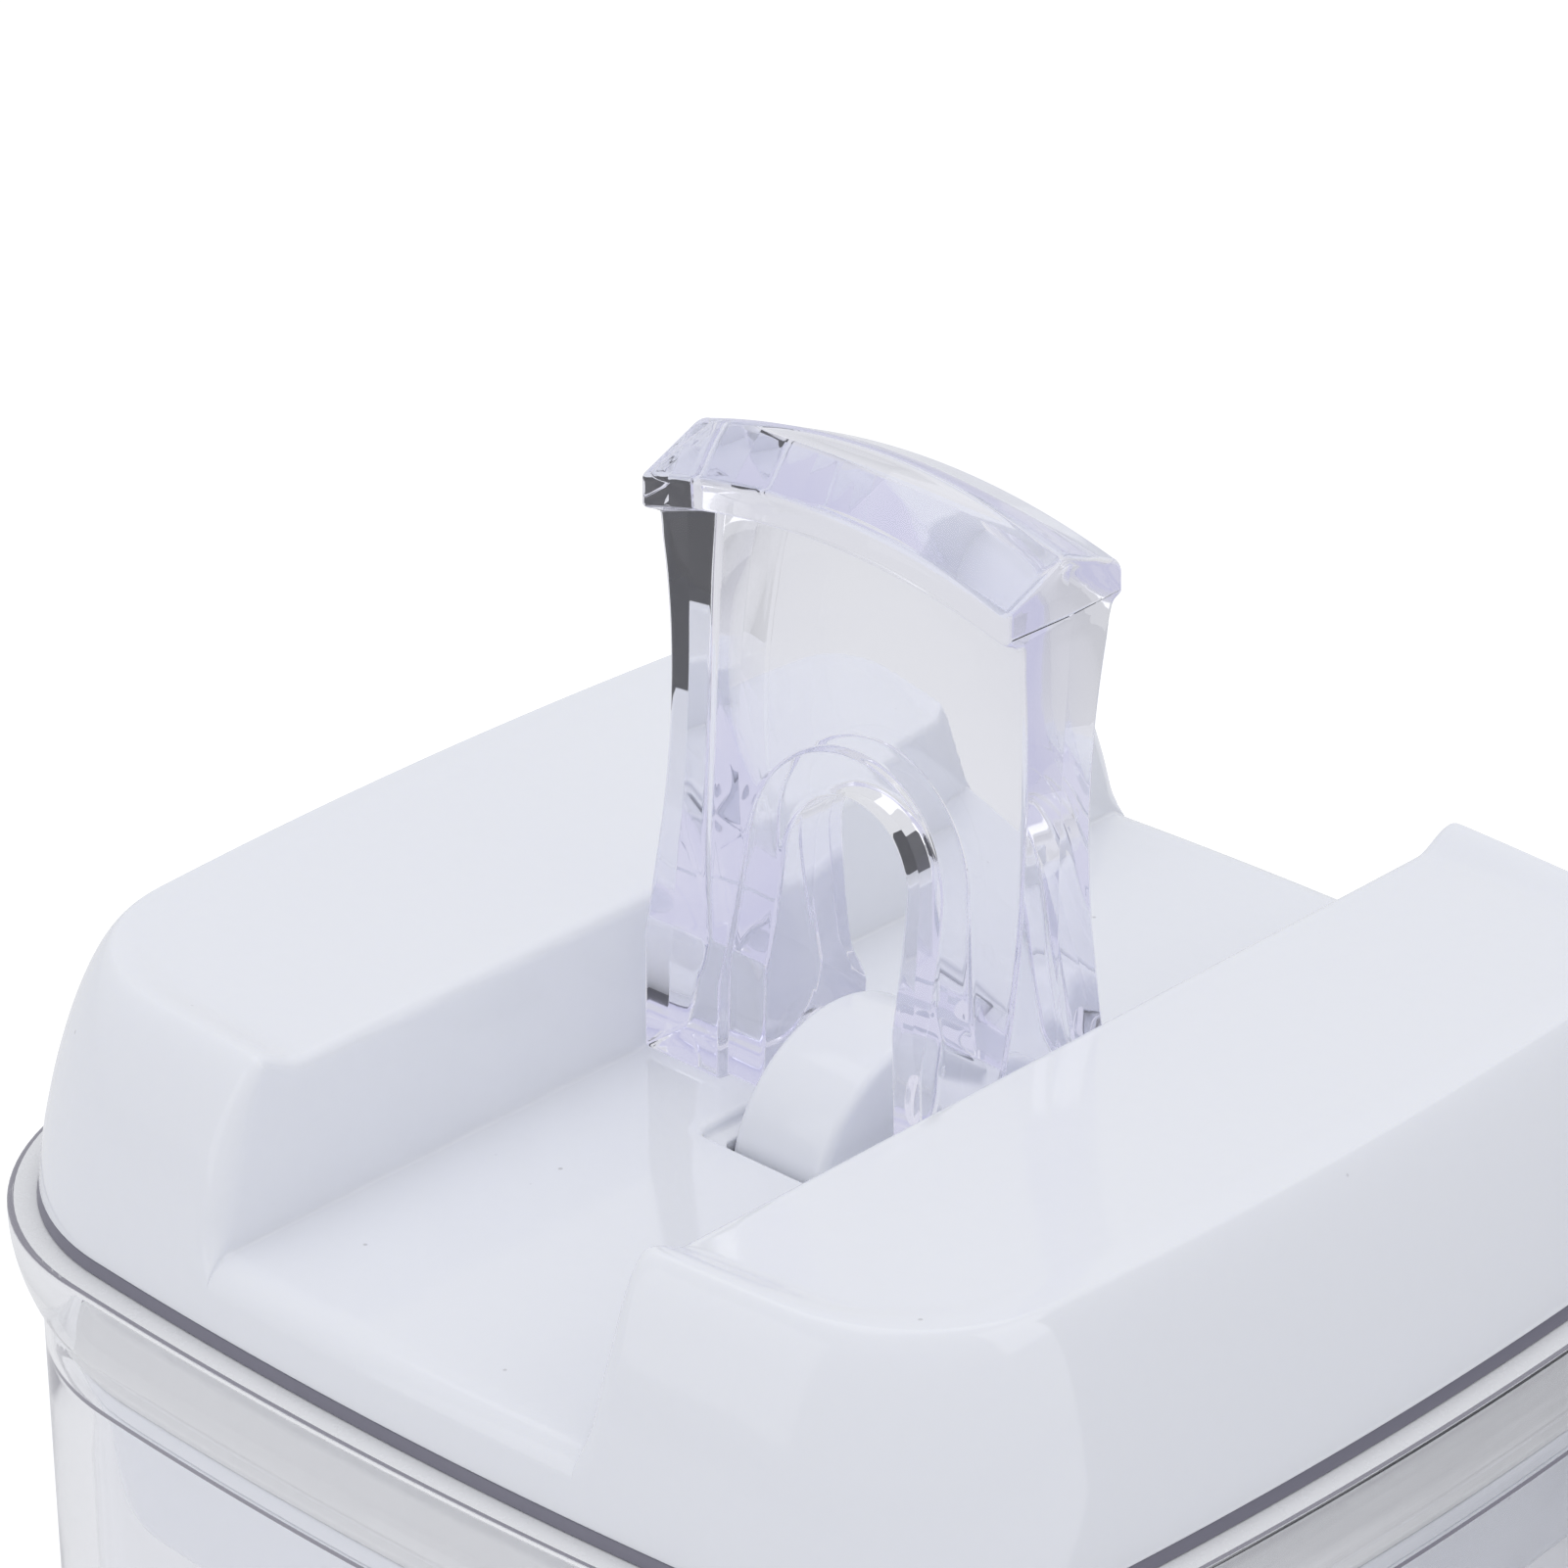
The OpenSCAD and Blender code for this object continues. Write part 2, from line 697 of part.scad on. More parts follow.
// Outline of the bar where it stands higher than its ends by a rise
function bar_outline(rise) =
    let (
        back = [
            [waist_thick, bar_low - bar_chamfer + rise],
            [lever_thick, bar_low + rise],
            [lever_thick, lever_h + rise]
        ]
    )
    concat(back, [[0, lever_h + bar_crown + rise]], mirrored(back));

// A tunnel along Y with a round top and legs that spread towards the foot
module arch(half, foot_half, thick) {
    rotate([90, 0, 0]) linear_extrude(2 * thick, center = true) polygon(concat(
        [[-foot_half, -overcut], [foot_half, -overcut]],
        arc([0, arch_z], half, 0, 180, 16)
    ));
}

module lever_block(least) {
    rotate([90, 0, 90]) linear_extrude(2 * lever_half + overcut, center = true)
        polygon(side_outline(least));
}

module lever_bar() {
    reach = lever_half + overcut;
    loft([for (i = [0 : bar_steps])
        let (x = reach * (2 * i / bar_steps - 1))
        [for (p = bar_outline(bar_rise(x))) [x, p[0], p[1]]]]);
}

module lever_front() {
    rotate([90, 0, 0]) linear_extrude(4 * lever_thick, center = true) polygon(front_outline());
}

module thumb_dish() {
    ball_r = (dish_r * dish_r + dish_depth * dish_depth) / (2 * dish_depth);
    translate([0, -waist_thick - ball_r + dish_depth, dish_z]) sphere(ball_r);
}

module lever() {
    color([0.88, 0.88, 0.97, 0.35]) at_floor() {
        difference() {
            union() {
                difference() {
                    intersection() {
                        union() {
                            lever_block(waist_thick);
                            lever_bar();
                        }
                        lever_front();
                    }
                    thumb_dish();
                }
                intersection() {
                    lever_block(waist_thick + border_out);
                    arch(arch_half + border_w, leg_half + border_w, 2 * lever_thick);
                }
            }
            arch(arch_half, leg_half, 2 * lever_thick);
        }
        for (side = [-1, 1]) translate([side * (leg_half + overcut), 0, pivot_h]) rotate([0, -90 * side, 0])
            cylinder(h = leg_half + overcut - lug_half + peg_reach, r = peg_r);
    }
}

jar_body();
lid_cover();
lid_base();
base_screws();
gasket();
stem();
stem_screws();
inner_plate();
bottom_cover();
return_spring_left();
return_spring_right();
lever();
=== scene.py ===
import bmesh
import bpy
import numpy as np
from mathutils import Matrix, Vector


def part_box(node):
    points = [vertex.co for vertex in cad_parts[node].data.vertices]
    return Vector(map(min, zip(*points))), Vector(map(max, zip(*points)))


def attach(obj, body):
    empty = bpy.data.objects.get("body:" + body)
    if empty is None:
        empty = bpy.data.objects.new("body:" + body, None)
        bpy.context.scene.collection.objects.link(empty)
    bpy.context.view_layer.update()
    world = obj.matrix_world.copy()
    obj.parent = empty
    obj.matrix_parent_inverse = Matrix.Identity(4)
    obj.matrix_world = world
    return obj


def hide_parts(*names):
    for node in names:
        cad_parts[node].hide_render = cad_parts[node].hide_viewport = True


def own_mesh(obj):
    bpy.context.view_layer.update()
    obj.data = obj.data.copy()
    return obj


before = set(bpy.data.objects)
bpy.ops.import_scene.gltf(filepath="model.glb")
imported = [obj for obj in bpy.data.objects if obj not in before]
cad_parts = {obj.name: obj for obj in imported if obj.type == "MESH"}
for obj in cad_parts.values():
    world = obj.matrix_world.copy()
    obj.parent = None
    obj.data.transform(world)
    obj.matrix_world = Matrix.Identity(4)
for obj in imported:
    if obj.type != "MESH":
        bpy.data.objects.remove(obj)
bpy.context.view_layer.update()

# Studio: a pale floor under even white light, with a soft box overhead, in front and at the right. A dark card lies
# and stands behind, out of sight, and gives the clear lever its dark reflections. The camera stands above the jar's
# near corner with a long lens, as it did for the photograph.
PHOTO_PX = 1601
FOCAL_PX = 6800
SENSOR_MM = 36
AZIMUTH, ELEVATION = np.radians((43.23, 26.37))
CAMERA_PLACE = (0.28502, -0.31278, 0.37353)
LAMP_AIM = (0.0, 0.0, 0.14)
LAMPS = {
    "overhead_box": {"place": (-0.1, 0.05, 0.95), "size": 0.8, "watts": 1.15},
    "front_box": {"place": (-0.35, -0.95, 0.5), "size": 0.7, "watts": 0.7},
    "right_box": {"place": (0.8, 0.2, 0.8), "size": 0.6, "watts": 0.9},
}
AMBIENT = 0.78
SEEN_IN_PLASTIC = 0.08
BACKGROUND_WHITE = (1.0, 1.0, 1.0, 1.0)
FLOOR_HALF = 3.0
FLOOR_GLOW = 0.33
CARD_WAY = np.array((0.707, 0.707, 0.0))
CARD_SIDE = np.array((-0.16, 0.16, 0.0))
CARD_LINE = ((0.06, 0.002), (0.55, 0.002), (0.55, 0.62))
CARD_RAGGED = 0.12

scene = bpy.context.scene
scene.view_settings.view_transform = "Standard"


def put(name, data):
    """A new object in the scene."""
    made = bpy.data.objects.new(name, data)
    scene.collection.objects.link(made)
    return made


def sheet(name, corners, faces, material):
    """A flat-sided object of the studio."""
    mesh = bpy.data.meshes.new(name)
    mesh.from_pydata(corners, [], faces)
    mesh.materials.append(material)
    return put(name, mesh)


camera = put("camera", bpy.data.cameras.new("camera"))
camera.data.sensor_width = SENSOR_MM
camera.data.lens = SENSOR_MM * FOCAL_PX / PHOTO_PX
camera.data.clip_start = 0.01
camera.location = CAMERA_PLACE
towards_camera = Vector((
    np.sin(AZIMUTH) * np.cos(ELEVATION), -np.cos(AZIMUTH) * np.cos(ELEVATION), np.sin(ELEVATION)
))
camera.rotation_euler = (-towards_camera).to_track_quat("-Z", "Y").to_euler()
scene.camera = camera

for lamp_name, lamp in LAMPS.items():
    light = bpy.data.lights.new(lamp_name, "AREA")
    light.size = lamp["size"]
    light.energy = lamp["watts"]
    stand = put(lamp_name, light)
    stand.location = lamp["place"]
    aim = Vector(LAMP_AIM) - stand.location
    stand.rotation_euler = aim.to_track_quat("-Z", "Y").to_euler()


def add_node(tree, kind, by=None, **settings):
    """A new shader node of a kind in a tree. A setting names a property, or an input by its name, and by is the
    second value of a calculation."""
    made = tree.nodes.new("ShaderNode" + kind)
    for name, value in settings.items():
        if name in made.bl_rna.properties:
            setattr(made, name, value)
        else:
            made.inputs[name.replace("_", " ")].default_value = value
    if by is not None:
        made.inputs[1].default_value = by
    return made


def wire(*links):
    """Links between nodes of one tree, each given as node, output, next node and its input."""
    for source, output, target, entry in links:
        source.id_data.links.new(source.outputs[output], target.inputs[entry])


def placed(tree, *targets):
    """Object coordinates for the vectors of texture nodes."""
    coordinates = add_node(tree, "TexCoord")
    wire(*((coordinates, "Object", target, "Vector") for target in targets))


def seen_share(tree):
    """1 for the rays that show the background straight on, less for those in a reflection or through clear plastic."""
    path = add_node(tree, "LightPath")
    bent = add_node(tree, "Math", operation="MAXIMUM")
    softened = add_node(tree, "Math", operation="MULTIPLY", by=SEEN_IN_PLASTIC)
    either = add_node(tree, "Math", operation="MAXIMUM")
    wire(
        (path, "Is Glossy Ray", bent, 0), (path, "Is Transmission Ray", bent, 1), (bent, 0, softened, 0),
        (path, "Is Camera Ray", either, 0), (softened, 0, either, 1),
    )
    return either


def new_material(name):
    """An empty material with its output node: (material, node tree, output)."""
    material = bpy.data.materials.new(name)
    material.use_nodes = True
    material.node_tree.nodes.clear()
    return material, material.node_tree, add_node(material.node_tree, "OutputMaterial")


world = bpy.data.worlds.new("studio")
scene.world = world
world.use_nodes = True
sky = world.node_tree
sky.nodes.clear()
ambient = add_node(sky, "Background", Color=(0.97, 0.98, 1.0, 1.0), Strength=AMBIENT)
backdrop = add_node(sky, "Background", Color=BACKGROUND_WHITE, Strength=1.0)
world_mix = add_node(sky, "MixShader")
world_out = add_node(sky, "OutputWorld")
wire(
    (seen_share(sky), 0, world_mix, 0), (ambient, 0, world_mix, 1), (backdrop, 0, world_mix, 2),
    (world_mix, 0, world_out, "Surface"),
)

floor_material, floor_tree, floor_out = new_material("pale_floor")
paper = add_node(floor_tree, "BsdfDiffuse", Color=(0.86, 0.86, 0.87, 1.0))
floor_light = add_node(floor_tree, "Emission", Color=BACKGROUND_WHITE)
floor_glow = add_node(floor_tree, "Math", operation="MULTIPLY", by=FLOOR_GLOW)
lit_paper = add_node(floor_tree, "AddShader")
wire(
    (seen_share(floor_tree), 0, floor_glow, 0), (floor_glow, 0, floor_light, "Strength"), (paper, 0, lit_paper, 0),
    (floor_light, 0, lit_paper, 1), (lit_paper, 0, floor_out, "Surface"),
)
floor = sheet(
    "floor", [(x * FLOOR_HALF, y * FLOOR_HALF, 0) for x, y in ((-1, -1), (1, -1), (1, 1), (-1, 1))], [(0, 1, 2, 3)],
    floor_material,
)

card_material, card_tree, card_out = new_material("black_card")
felt = add_node(card_tree, "BsdfDiffuse")
card_along = add_node(card_tree, "Mapping", Rotation=(0.0, 0.0, -np.pi / 4))
card_near = add_node(card_tree, "SeparateXYZ")
card_clouds = add_node(card_tree, "TexNoise", Scale=38.0, Detail=3.0)
card_ragged = add_node(card_tree, "Math", operation="MULTIPLY_ADD", by=CARD_RAGGED)
card_fade = add_node(card_tree, "MapRange", From_Min=0.13, From_Max=0.24)
felt_colour = add_node(
    card_tree, "Mix", data_type="RGBA", A=(0.8, 0.8, 0.82, 1.0), B=(0.06, 0.06, 0.066, 1.0)
)
placed(card_tree, card_along, card_clouds)
wire(
    (card_along, "Vector", card_near, 0), (card_clouds, 0, card_ragged, 0), (card_near, "X", card_ragged, 2),
    (card_ragged, 0, card_fade, "Value"), (card_fade, 0, felt_colour, "Factor"),
    (felt_colour, "Result", felt, "Color"), (felt, 0, card_out, "Surface"),
)
card = sheet(
    "black_card",
    [far * CARD_WAY + side * CARD_SIDE + (0, 0, height) for far, height in CARD_LINE for side in (-1, 1)],
    [(0, 1, 3, 2), (2, 3, 5, 4)], card_material,
)
card.visible_camera = card.visible_diffuse = card.visible_shadow = False


# Jar: one clear moulding, square with bowed sides, a flared rim, a stepped mouth and a recessed foot.
# It is injection moulded in a stiff clear styrene plastic and polished inside and out, apart from a thin satin land
# on top of the rim.
MM = 0.001
BOW_R = 365.0
CORNER_R = 20.2
LEAST_CORNER = 2.0
SIDE_STEPS = 20
CORNER_STEPS = 24
DISC_ROWS = 7
WELD = 2e-6
LEAST_EDGE = 1e-7
SPECK_CHOICE = 0.965
SCRATCH_ROUGH = 2.5
INNER_DEPTH = 3.5
RIM_OUT = 2.2
RIM_H = 8.0
RIM_ROUND = 0.3
RIM_LIFT = 0.1
FLARE_POWER = 0.8
LAND_IN = 0.5
LAND_T = 0.06
LAND_GAP = 0.005
JAR_DRAFT = 1.2
JAR_WALL = 2.4
JAR_FLOOR = 3.2
MOUTH_DEPTH = 12.0
MOUTH_STEP = 0.5
MOUTH_CHAMFER = 0.5
FOOT_RECESS = 0.8
FOOT_W = 7.0
FOOT_SLOPE = 1.0
FLOOR_IN = 12.0
LONG_RUN = 4.0


def box_mm(node):
    """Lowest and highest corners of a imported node, in millimetres."""
    low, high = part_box(node)
    return np.array(low) / MM, np.array(high) / MM


def points(*parts):
    """Points from their coordinates, each of them an array or one value for all."""
    return np.stack(np.broadcast_arrays(*parts), axis=-1)


def unit(way):
    """Ways of length 1."""
    return way / np.maximum(np.linalg.norm(way, axis=-1, keepdims=True), 1e-9)


def rounded_path(corners, radii, reach=3.0, steps=6, counts=None):
    """A path through corner points, each rounded by an arc of its own radius that touches both neighbours.
    Straight runs are divided into steps no longer than reach, or into the given counts."""
    corners = np.asarray(corners, float)
    runs = [corners[:1]]
    for before, at, after, radius in zip(corners, corners[1:], corners[2:], radii):
        back, on = unit(before - at), unit(after - at)
        half_angle = np.arccos(np.clip(back @ on, -1, 1)) / 2
        centre = at + unit(back + on) * radius / np.sin(half_angle)
        start = at + back * radius / np.tan(half_angle) - centre
        end = at + on * radius / np.tan(half_angle) - centre
        chord = start + (end - start) * np.linspace(0, 1, steps + 1)[:, None]
        runs.append(centre + radius * unit(chord))
    runs.append(corners[-1:])
    path = [runs[0]]
    for k, run in enumerate(runs[1:]):
        gap = run[0] - path[-1][-1]
        pieces = counts[k] if counts else int(np.ceil(np.linalg.norm(gap) / reach))
        between = path[-1][-1] + gap * (np.arange(1, pieces) / max(pieces, 1))[:, None]
        path += [between, run]
    return np.concatenate(path)


def ring_form(half):
    """Form of a bowed ring of a half width: the radius of its corner arcs, the middle of a side's arc, the middle of
    a corner's arc, the turn from the middle of a side to where they meet, and the turns along a corner."""
    corner_r = np.maximum(CORNER_R - JAR_HALF + half, LEAST_CORNER)
    side_x = half - BOW_R
    centre = (side_x + np.sqrt(2 * (BOW_R - corner_r) ** 2 - side_x**2)) / 2
    turn = np.arctan2(centre, centre - side_x)
    around = turn + (np.pi / 2 - 2 * turn) * np.linspace(0, 1, CORNER_STEPS + 1)[:-1]
    return corner_r, side_x, centre, turn, around


def bowed_rings(half, z, shrink=1.0):
    """Closed rings, one for each half width and height. A ring is a square whose sides are arcs of BOW_R and whose
    corner arcs keep their centres as the half width changes, tangent where they meet. It may be shrunk towards its
    middle. The first point is repeated at the end."""
    half, z, shrink = (np.ravel(a)[:, None] for a in np.broadcast_arrays(half, z, shrink))
    corner_r, side_x, centre, turn, around = ring_form(half)
    along = turn * np.linspace(-1, 1, SIDE_STEPS + 1)[:-1]
    x = np.hstack([side_x + BOW_R * np.cos(along), centre + corner_r * np.cos(around)])
    y = np.hstack([BOW_R * np.sin(along), centre + corner_r * np.sin(around)])
    x, y = np.hstack([x, -y, -x, y]), np.hstack([y, x, -y, -x])
    rings = points(x * shrink, y * shrink, z)
    return np.concatenate([rings, rings[:, :1]], axis=1)


def carried_round(path):
    """A profile of (half width, height) points carried round the bowed square, as a grid of points."""
    return bowed_rings(path[:, 0], path[:, 1])


def closed_round(path):
    """A profile carried round the bowed square, and at each end a flat disc, whose ring shrinks to a point in the
    middle."""
    shares = np.linspace(0, 1, DISC_ROWS)
    return [
        bowed_rings(*path[0], shrink=shares), carried_round(path), bowed_rings(*path[-1], shrink=shares[::-1])
    ]


def make_piece(name, patches, material, body, nodes=(), fill_holes=False):
    """One smooth closed mesh from patches, which are grids of points (rows, columns, 3) in millimetres or pairs of
    such a grid and a mask of the cells to keep. Points that coincide where patches meet become one."""
    mesh = bpy.data.meshes.new(name)
    shell = bmesh.new()
    places, faces, start = [], [], 0
    for patch in patches:
        grid, keep = patch if isinstance(patch, tuple) else (patch, None)
        rows, columns = grid.shape[:2]
        index = start + np.arange(rows * columns).reshape(rows, columns)
        cells = np.stack([index[:-1, :-1], index[:-1, 1:], index[1:, 1:], index[1:, :-1]], axis=-1)
        faces.append(cells.reshape(-1, 4) if keep is None else cells[keep])
        places.append(grid.reshape(-1, 3) * MM)
        start += rows * columns
    mesh.from_pydata(np.concatenate(places), [], np.concatenate(faces))
    shell.from_mesh(mesh)
    bmesh.ops.remove_doubles(shell, verts=shell.verts, dist=WELD)
    bmesh.ops.dissolve_degenerate(shell, edges=shell.edges, dist=LEAST_EDGE)
    if fill_holes:
        rim = [edge for edge in shell.edges if edge.is_boundary]
        bmesh.ops.triangle_fill(shell, edges=rim, use_beauty=True)
    bmesh.ops.recalc_face_normals(shell, faces=shell.faces)
    shell.to_mesh(mesh)
    shell.free()
    mesh.shade_smooth()
    mesh.materials.append(material)
    piece = put(name, mesh)
    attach(piece, body)
    if nodes:
        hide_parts(*nodes)
    return piece


def moulded_group():
    """Shared look of moulded plastic: slow waviness of the polished mould, fine mottling of the gloss,
    hair-fine scratches and a few dust specks, each as a mask that changes over the surface."""
    group = bpy.data.node_groups.new("moulded_surface", "ShaderNodeTree")
    for name in ("Waves", "Mottle", "Scratches", "Specks"):
        group.interface.new_socket(name, in_out="OUTPUT", socket_type="NodeSocketFloat")
    outputs = group.nodes.new("NodeGroupOutput")
    waves = add_node(group, "TexNoise", Scale=60.0, Detail=1.0, Roughness=0.4)
    mottle = add_node(group, "TexNoise", Scale=900.0, Detail=4.0, Roughness=0.6)
    stretch = add_node(group, "Mapping", Rotation=(0.3, 0.2, 0.7), Scale=(1.0, 14.0, 1.0))
    scratch = add_node(group, "TexNoise", Scale=90.0, Detail=3.0, Roughness=0.7)
    scratch_cut = add_node(group, "MapRange", From_Min=0.71, From_Max=0.76)
    speck = add_node(group, "TexVoronoi", Scale=420.0)
    speck_cut = add_node(group, "MapRange", From_Min=0.09, From_Max=0.05)
    pick = add_node(group, "SeparateColor")
    few = add_node(group, "Math", operation="GREATER_THAN", by=SPECK_CHOICE)
    picked = add_node(group, "Math", operation="MULTIPLY")
    placed(group, waves, mottle, speck, stretch)
    wire(
        (stretch, "Vector", scratch, "Vector"), (scratch, 0, scratch_cut, "Value"),
        (speck, "Distance", speck_cut, "Value"),
        (waves, 0, outputs, "Waves"), (mottle, 0, outputs, "Mottle"), (scratch_cut, 0, outputs, "Scratches"),
        (speck, "Color", pick, 0), (pick, 0, few, 0), (few, 0, picked, 0), (speck_cut, 0, picked, 1),
        (picked, 0, outputs, "Specks"),
    )
    return group


MOULDED = moulded_group()


def plastic(name, colour, deep_colour, gloss, bump, inner_light=None, **shader):
    """A moulded plastic: colour shifts a little with the mottling, gloss gives the least and greatest roughness,
    and bump the height of the waviness in metres. Clear plastic has an inner_light, which stands for the light that
    a ray would still find after its last reflection inside, and lets lamps and soft light through. The rest goes to
    the shader's own sockets."""
    material, tree, out = new_material(name)
    surface = add_node(tree, "BsdfPrincipled", **shader)
    look = add_node(tree, "Group", node_tree=MOULDED)
    tint = add_node(tree, "Mix", data_type="RGBA", A=colour, B=deep_colour)
    rough = add_node(tree, "MapRange", To_Min=gloss[0], To_Max=gloss[1])
    worn = add_node(tree, "Math", operation="MAXIMUM")
    scratched = add_node(tree, "Math", operation="MULTIPLY", by=gloss[1] * SCRATCH_ROUGH)
    relief = add_node(tree, "Bump", Strength=1.0, Distance=bump)
    wire(
        (look, "Mottle", tint, "Factor"), (tint, "Result", surface, "Base Color"), (look, "Mottle", rough, "Value"),
        (look, "Scratches", scratched, 0), (rough, 0, worn, 0), (scratched, 0, worn, 1),
        (worn, 0, surface, "Roughness"), (look, "Waves", relief, "Height"), (relief, "Normal", surface, "Normal"),
        (surface, 0, out, "Surface"),
    )
    if inner_light:
        path = add_node(tree, "LightPath")
        open_way = add_node(tree, "BsdfTransparent")
        for_lamps, for_soft_light, either = (add_node(tree, "MixShader") for _ in range(3))
        spent = add_node(tree, "Math", operation="GREATER_THAN", by=INNER_DEPTH)
        glow = add_node(tree, "Emission", Color=inner_light)
        wire(
            (path, "Glossy Depth", spent, 0), (spent, 0, either, 0), (surface, 0, either, 1), (glow, 0, either, 2),
            (path, "Is Diffuse Ray", for_soft_light, 0), (either, 0, for_soft_light, 1),
            (open_way, 0, for_soft_light, 2), (path, "Is Shadow Ray", for_lamps, 0),
            (for_soft_light, 0, for_lamps, 1), (open_way, 0, for_lamps, 2), (for_lamps, 0, out, "Surface"),
        )
    return material, tree, surface, look, tint


jar_high = box_mm("jar_body")[1]
JAR_H = jar_high[2] + RIM_LIFT
RIM_HALF = jar_high[0]
JAR_HALF = RIM_HALF - RIM_OUT
BOTTOM_HALF = JAR_HALF - JAR_DRAFT
MOUTH_HALF = JAR_HALF - JAR_WALL

flare = np.linspace(0, 1, 19)[1:-1]
flare_path = points(
    JAR_HALF + RIM_OUT * np.sin(np.pi / 2 * flare) ** FLARE_POWER,
    JAR_H - RIM_H + flare * (RIM_H - 2 * RIM_ROUND),
)
foot_half = BOTTOM_HALF - FOOT_W
jar_path = np.concatenate([
    rounded_path(
        [(foot_half - 2 * FOOT_SLOPE, FOOT_RECESS), (foot_half - FOOT_SLOPE, FOOT_RECESS), (foot_half, 0),
         (BOTTOM_HALF, 0), (JAR_HALF, JAR_H - RIM_H)],
        (0.4, 0.4, 5.0), reach=LONG_RUN,
    ),
    flare_path,
    rounded_path(
        [(RIM_HALF, JAR_H - 2 * RIM_ROUND), (RIM_HALF, JAR_H), (MOUTH_HALF + MOUTH_CHAMFER, JAR_H),
         (MOUTH_HALF, JAR_H - MOUTH_CHAMFER), (MOUTH_HALF, JAR_H - MOUTH_DEPTH),
         (MOUTH_HALF - MOUTH_STEP, JAR_H - MOUTH_DEPTH - MOUTH_STEP),
         (BOTTOM_HALF - JAR_WALL - MOUTH_STEP, JAR_FLOOR), (BOTTOM_HALF - FLOOR_IN, JAR_FLOOR)],
        (RIM_ROUND, 0.2, 0.2, 0.25, 0.25, 6.0), reach=LONG_RUN,
    ),
])
clear_jar = plastic(
    "clear_jar_plastic", (0.965, 0.968, 0.985, 1.0), (0.955, 0.96, 0.98, 1.0), (0.012, 0.03), 0.00004,
    inner_light=(0.24, 0.235, 0.28, 1.0), IOR=1.57, Transmission_Weight=1.0,
)[0]
make_piece("jar_body_clear", closed_round(jar_path), clear_jar, "jar", ["jar_body"])

satin_land = plastic(
    "satin_rim_plastic", (0.8, 0.805, 0.825, 1.0), (0.79, 0.795, 0.82, 1.0), (0.22, 0.32), 0.000002, IOR=1.57,
)[0]
land_inner, land_outer = MOUTH_HALF + LAND_IN, RIM_HALF - LAND_IN
land_low, land_top = JAR_H + LAND_GAP, JAR_H + LAND_T
land_path = rounded_path(
    [(land_inner, JAR_H + LAND_T / 2), (land_inner, land_low), (land_outer, land_low), (land_outer, land_top),
     (land_inner, land_top), (land_inner, JAR_H + LAND_T / 2)],
    (0.01, 0.01, 0.02, 0.01), steps=2,
)
make_piece("jar_rim_land", [carried_round(land_path)], satin_land, "jar")


# Plunger: the smooth tapered pan that closes the mouth from below, and the flat plate screwed on top of it.
# Both are moulded in the lid's glossy white plastic, and the pan hides the plate's screws from the food.
COVER_TAPER = 2.2
COVER_IN = 6.0
PLATE_T = 2.4
PLATE_IN = 12.0
FENCE_IN = 5.0
FENCE_H = 3.0
FENCE_T = 1.6

white_plastic, white_tree, white_surface, white_look, white_tint = plastic(
    "white_lid_plastic", (0.828, 0.842, 0.895, 1.0), (0.812, 0.826, 0.88, 1.0), (0.05, 0.1), 0.00003,
    IOR=1.54, Subsurface_Weight=0.12, Subsurface_Radius=(0.006, 0.006, 0.007), Subsurface_Scale=0.3,
)
dust = add_node(white_tree, "Mix", data_type="RGBA", B=(0.6, 0.6, 0.64, 1.0))
wire(
    (white_look, "Specks", dust, "Factor"), (white_tint, "Result", dust, "A"),
    (dust, "Result", white_surface, "Base Color"),
)

cover_low, cover_high = box_mm("bottom_cover")
PLUG_HALF = cover_high[0]
low_half = PLUG_HALF - COVER_TAPER
cover_path = rounded_path(
    [(low_half - COVER_IN, cover_low[2]), (low_half, cover_low[2]), (PLUG_HALF, cover_high[2]),
     (PLUG_HALF - COVER_IN, cover_high[2])], (2.4, 0.3),
)
make_piece("bottom_cover_pan", closed_round(cover_path), white_plastic, "plunger", ["bottom_cover"])

plate_z = box_mm("inner_plate")[0][2]
plate_top = plate_z + PLATE_T
fence_half, fence_top = PLUG_HALF - FENCE_IN, plate_top + FENCE_H
plate_path = rounded_path(
    [(low_half - COVER_IN, plate_z), (PLUG_HALF, plate_z), (PLUG_HALF, plate_top), (fence_half, plate_top),
     (fence_half, fence_top), (fence_half - FENCE_T, fence_top), (fence_half - FENCE_T, plate_top),
     (low_half - PLATE_IN, plate_top)], (0.4, 0.4, 0.2, 0.3, 0.3, 0.2),
)
make_piece("inner_plate_fenced", closed_round(plate_path), white_plastic, "plunger", ["inner_plate"])


# Screws and springs: zinc-plated pan-head screws, and two small coil springs that push the plunger down.
# The wire is drawn steel, wound on a mandrel and ground flat at both ends.
WIRE_R = 0.45
WIRE_STEPS = 12
COIL_R = 4.2
COIL_STEPS = 28
COILS = 6

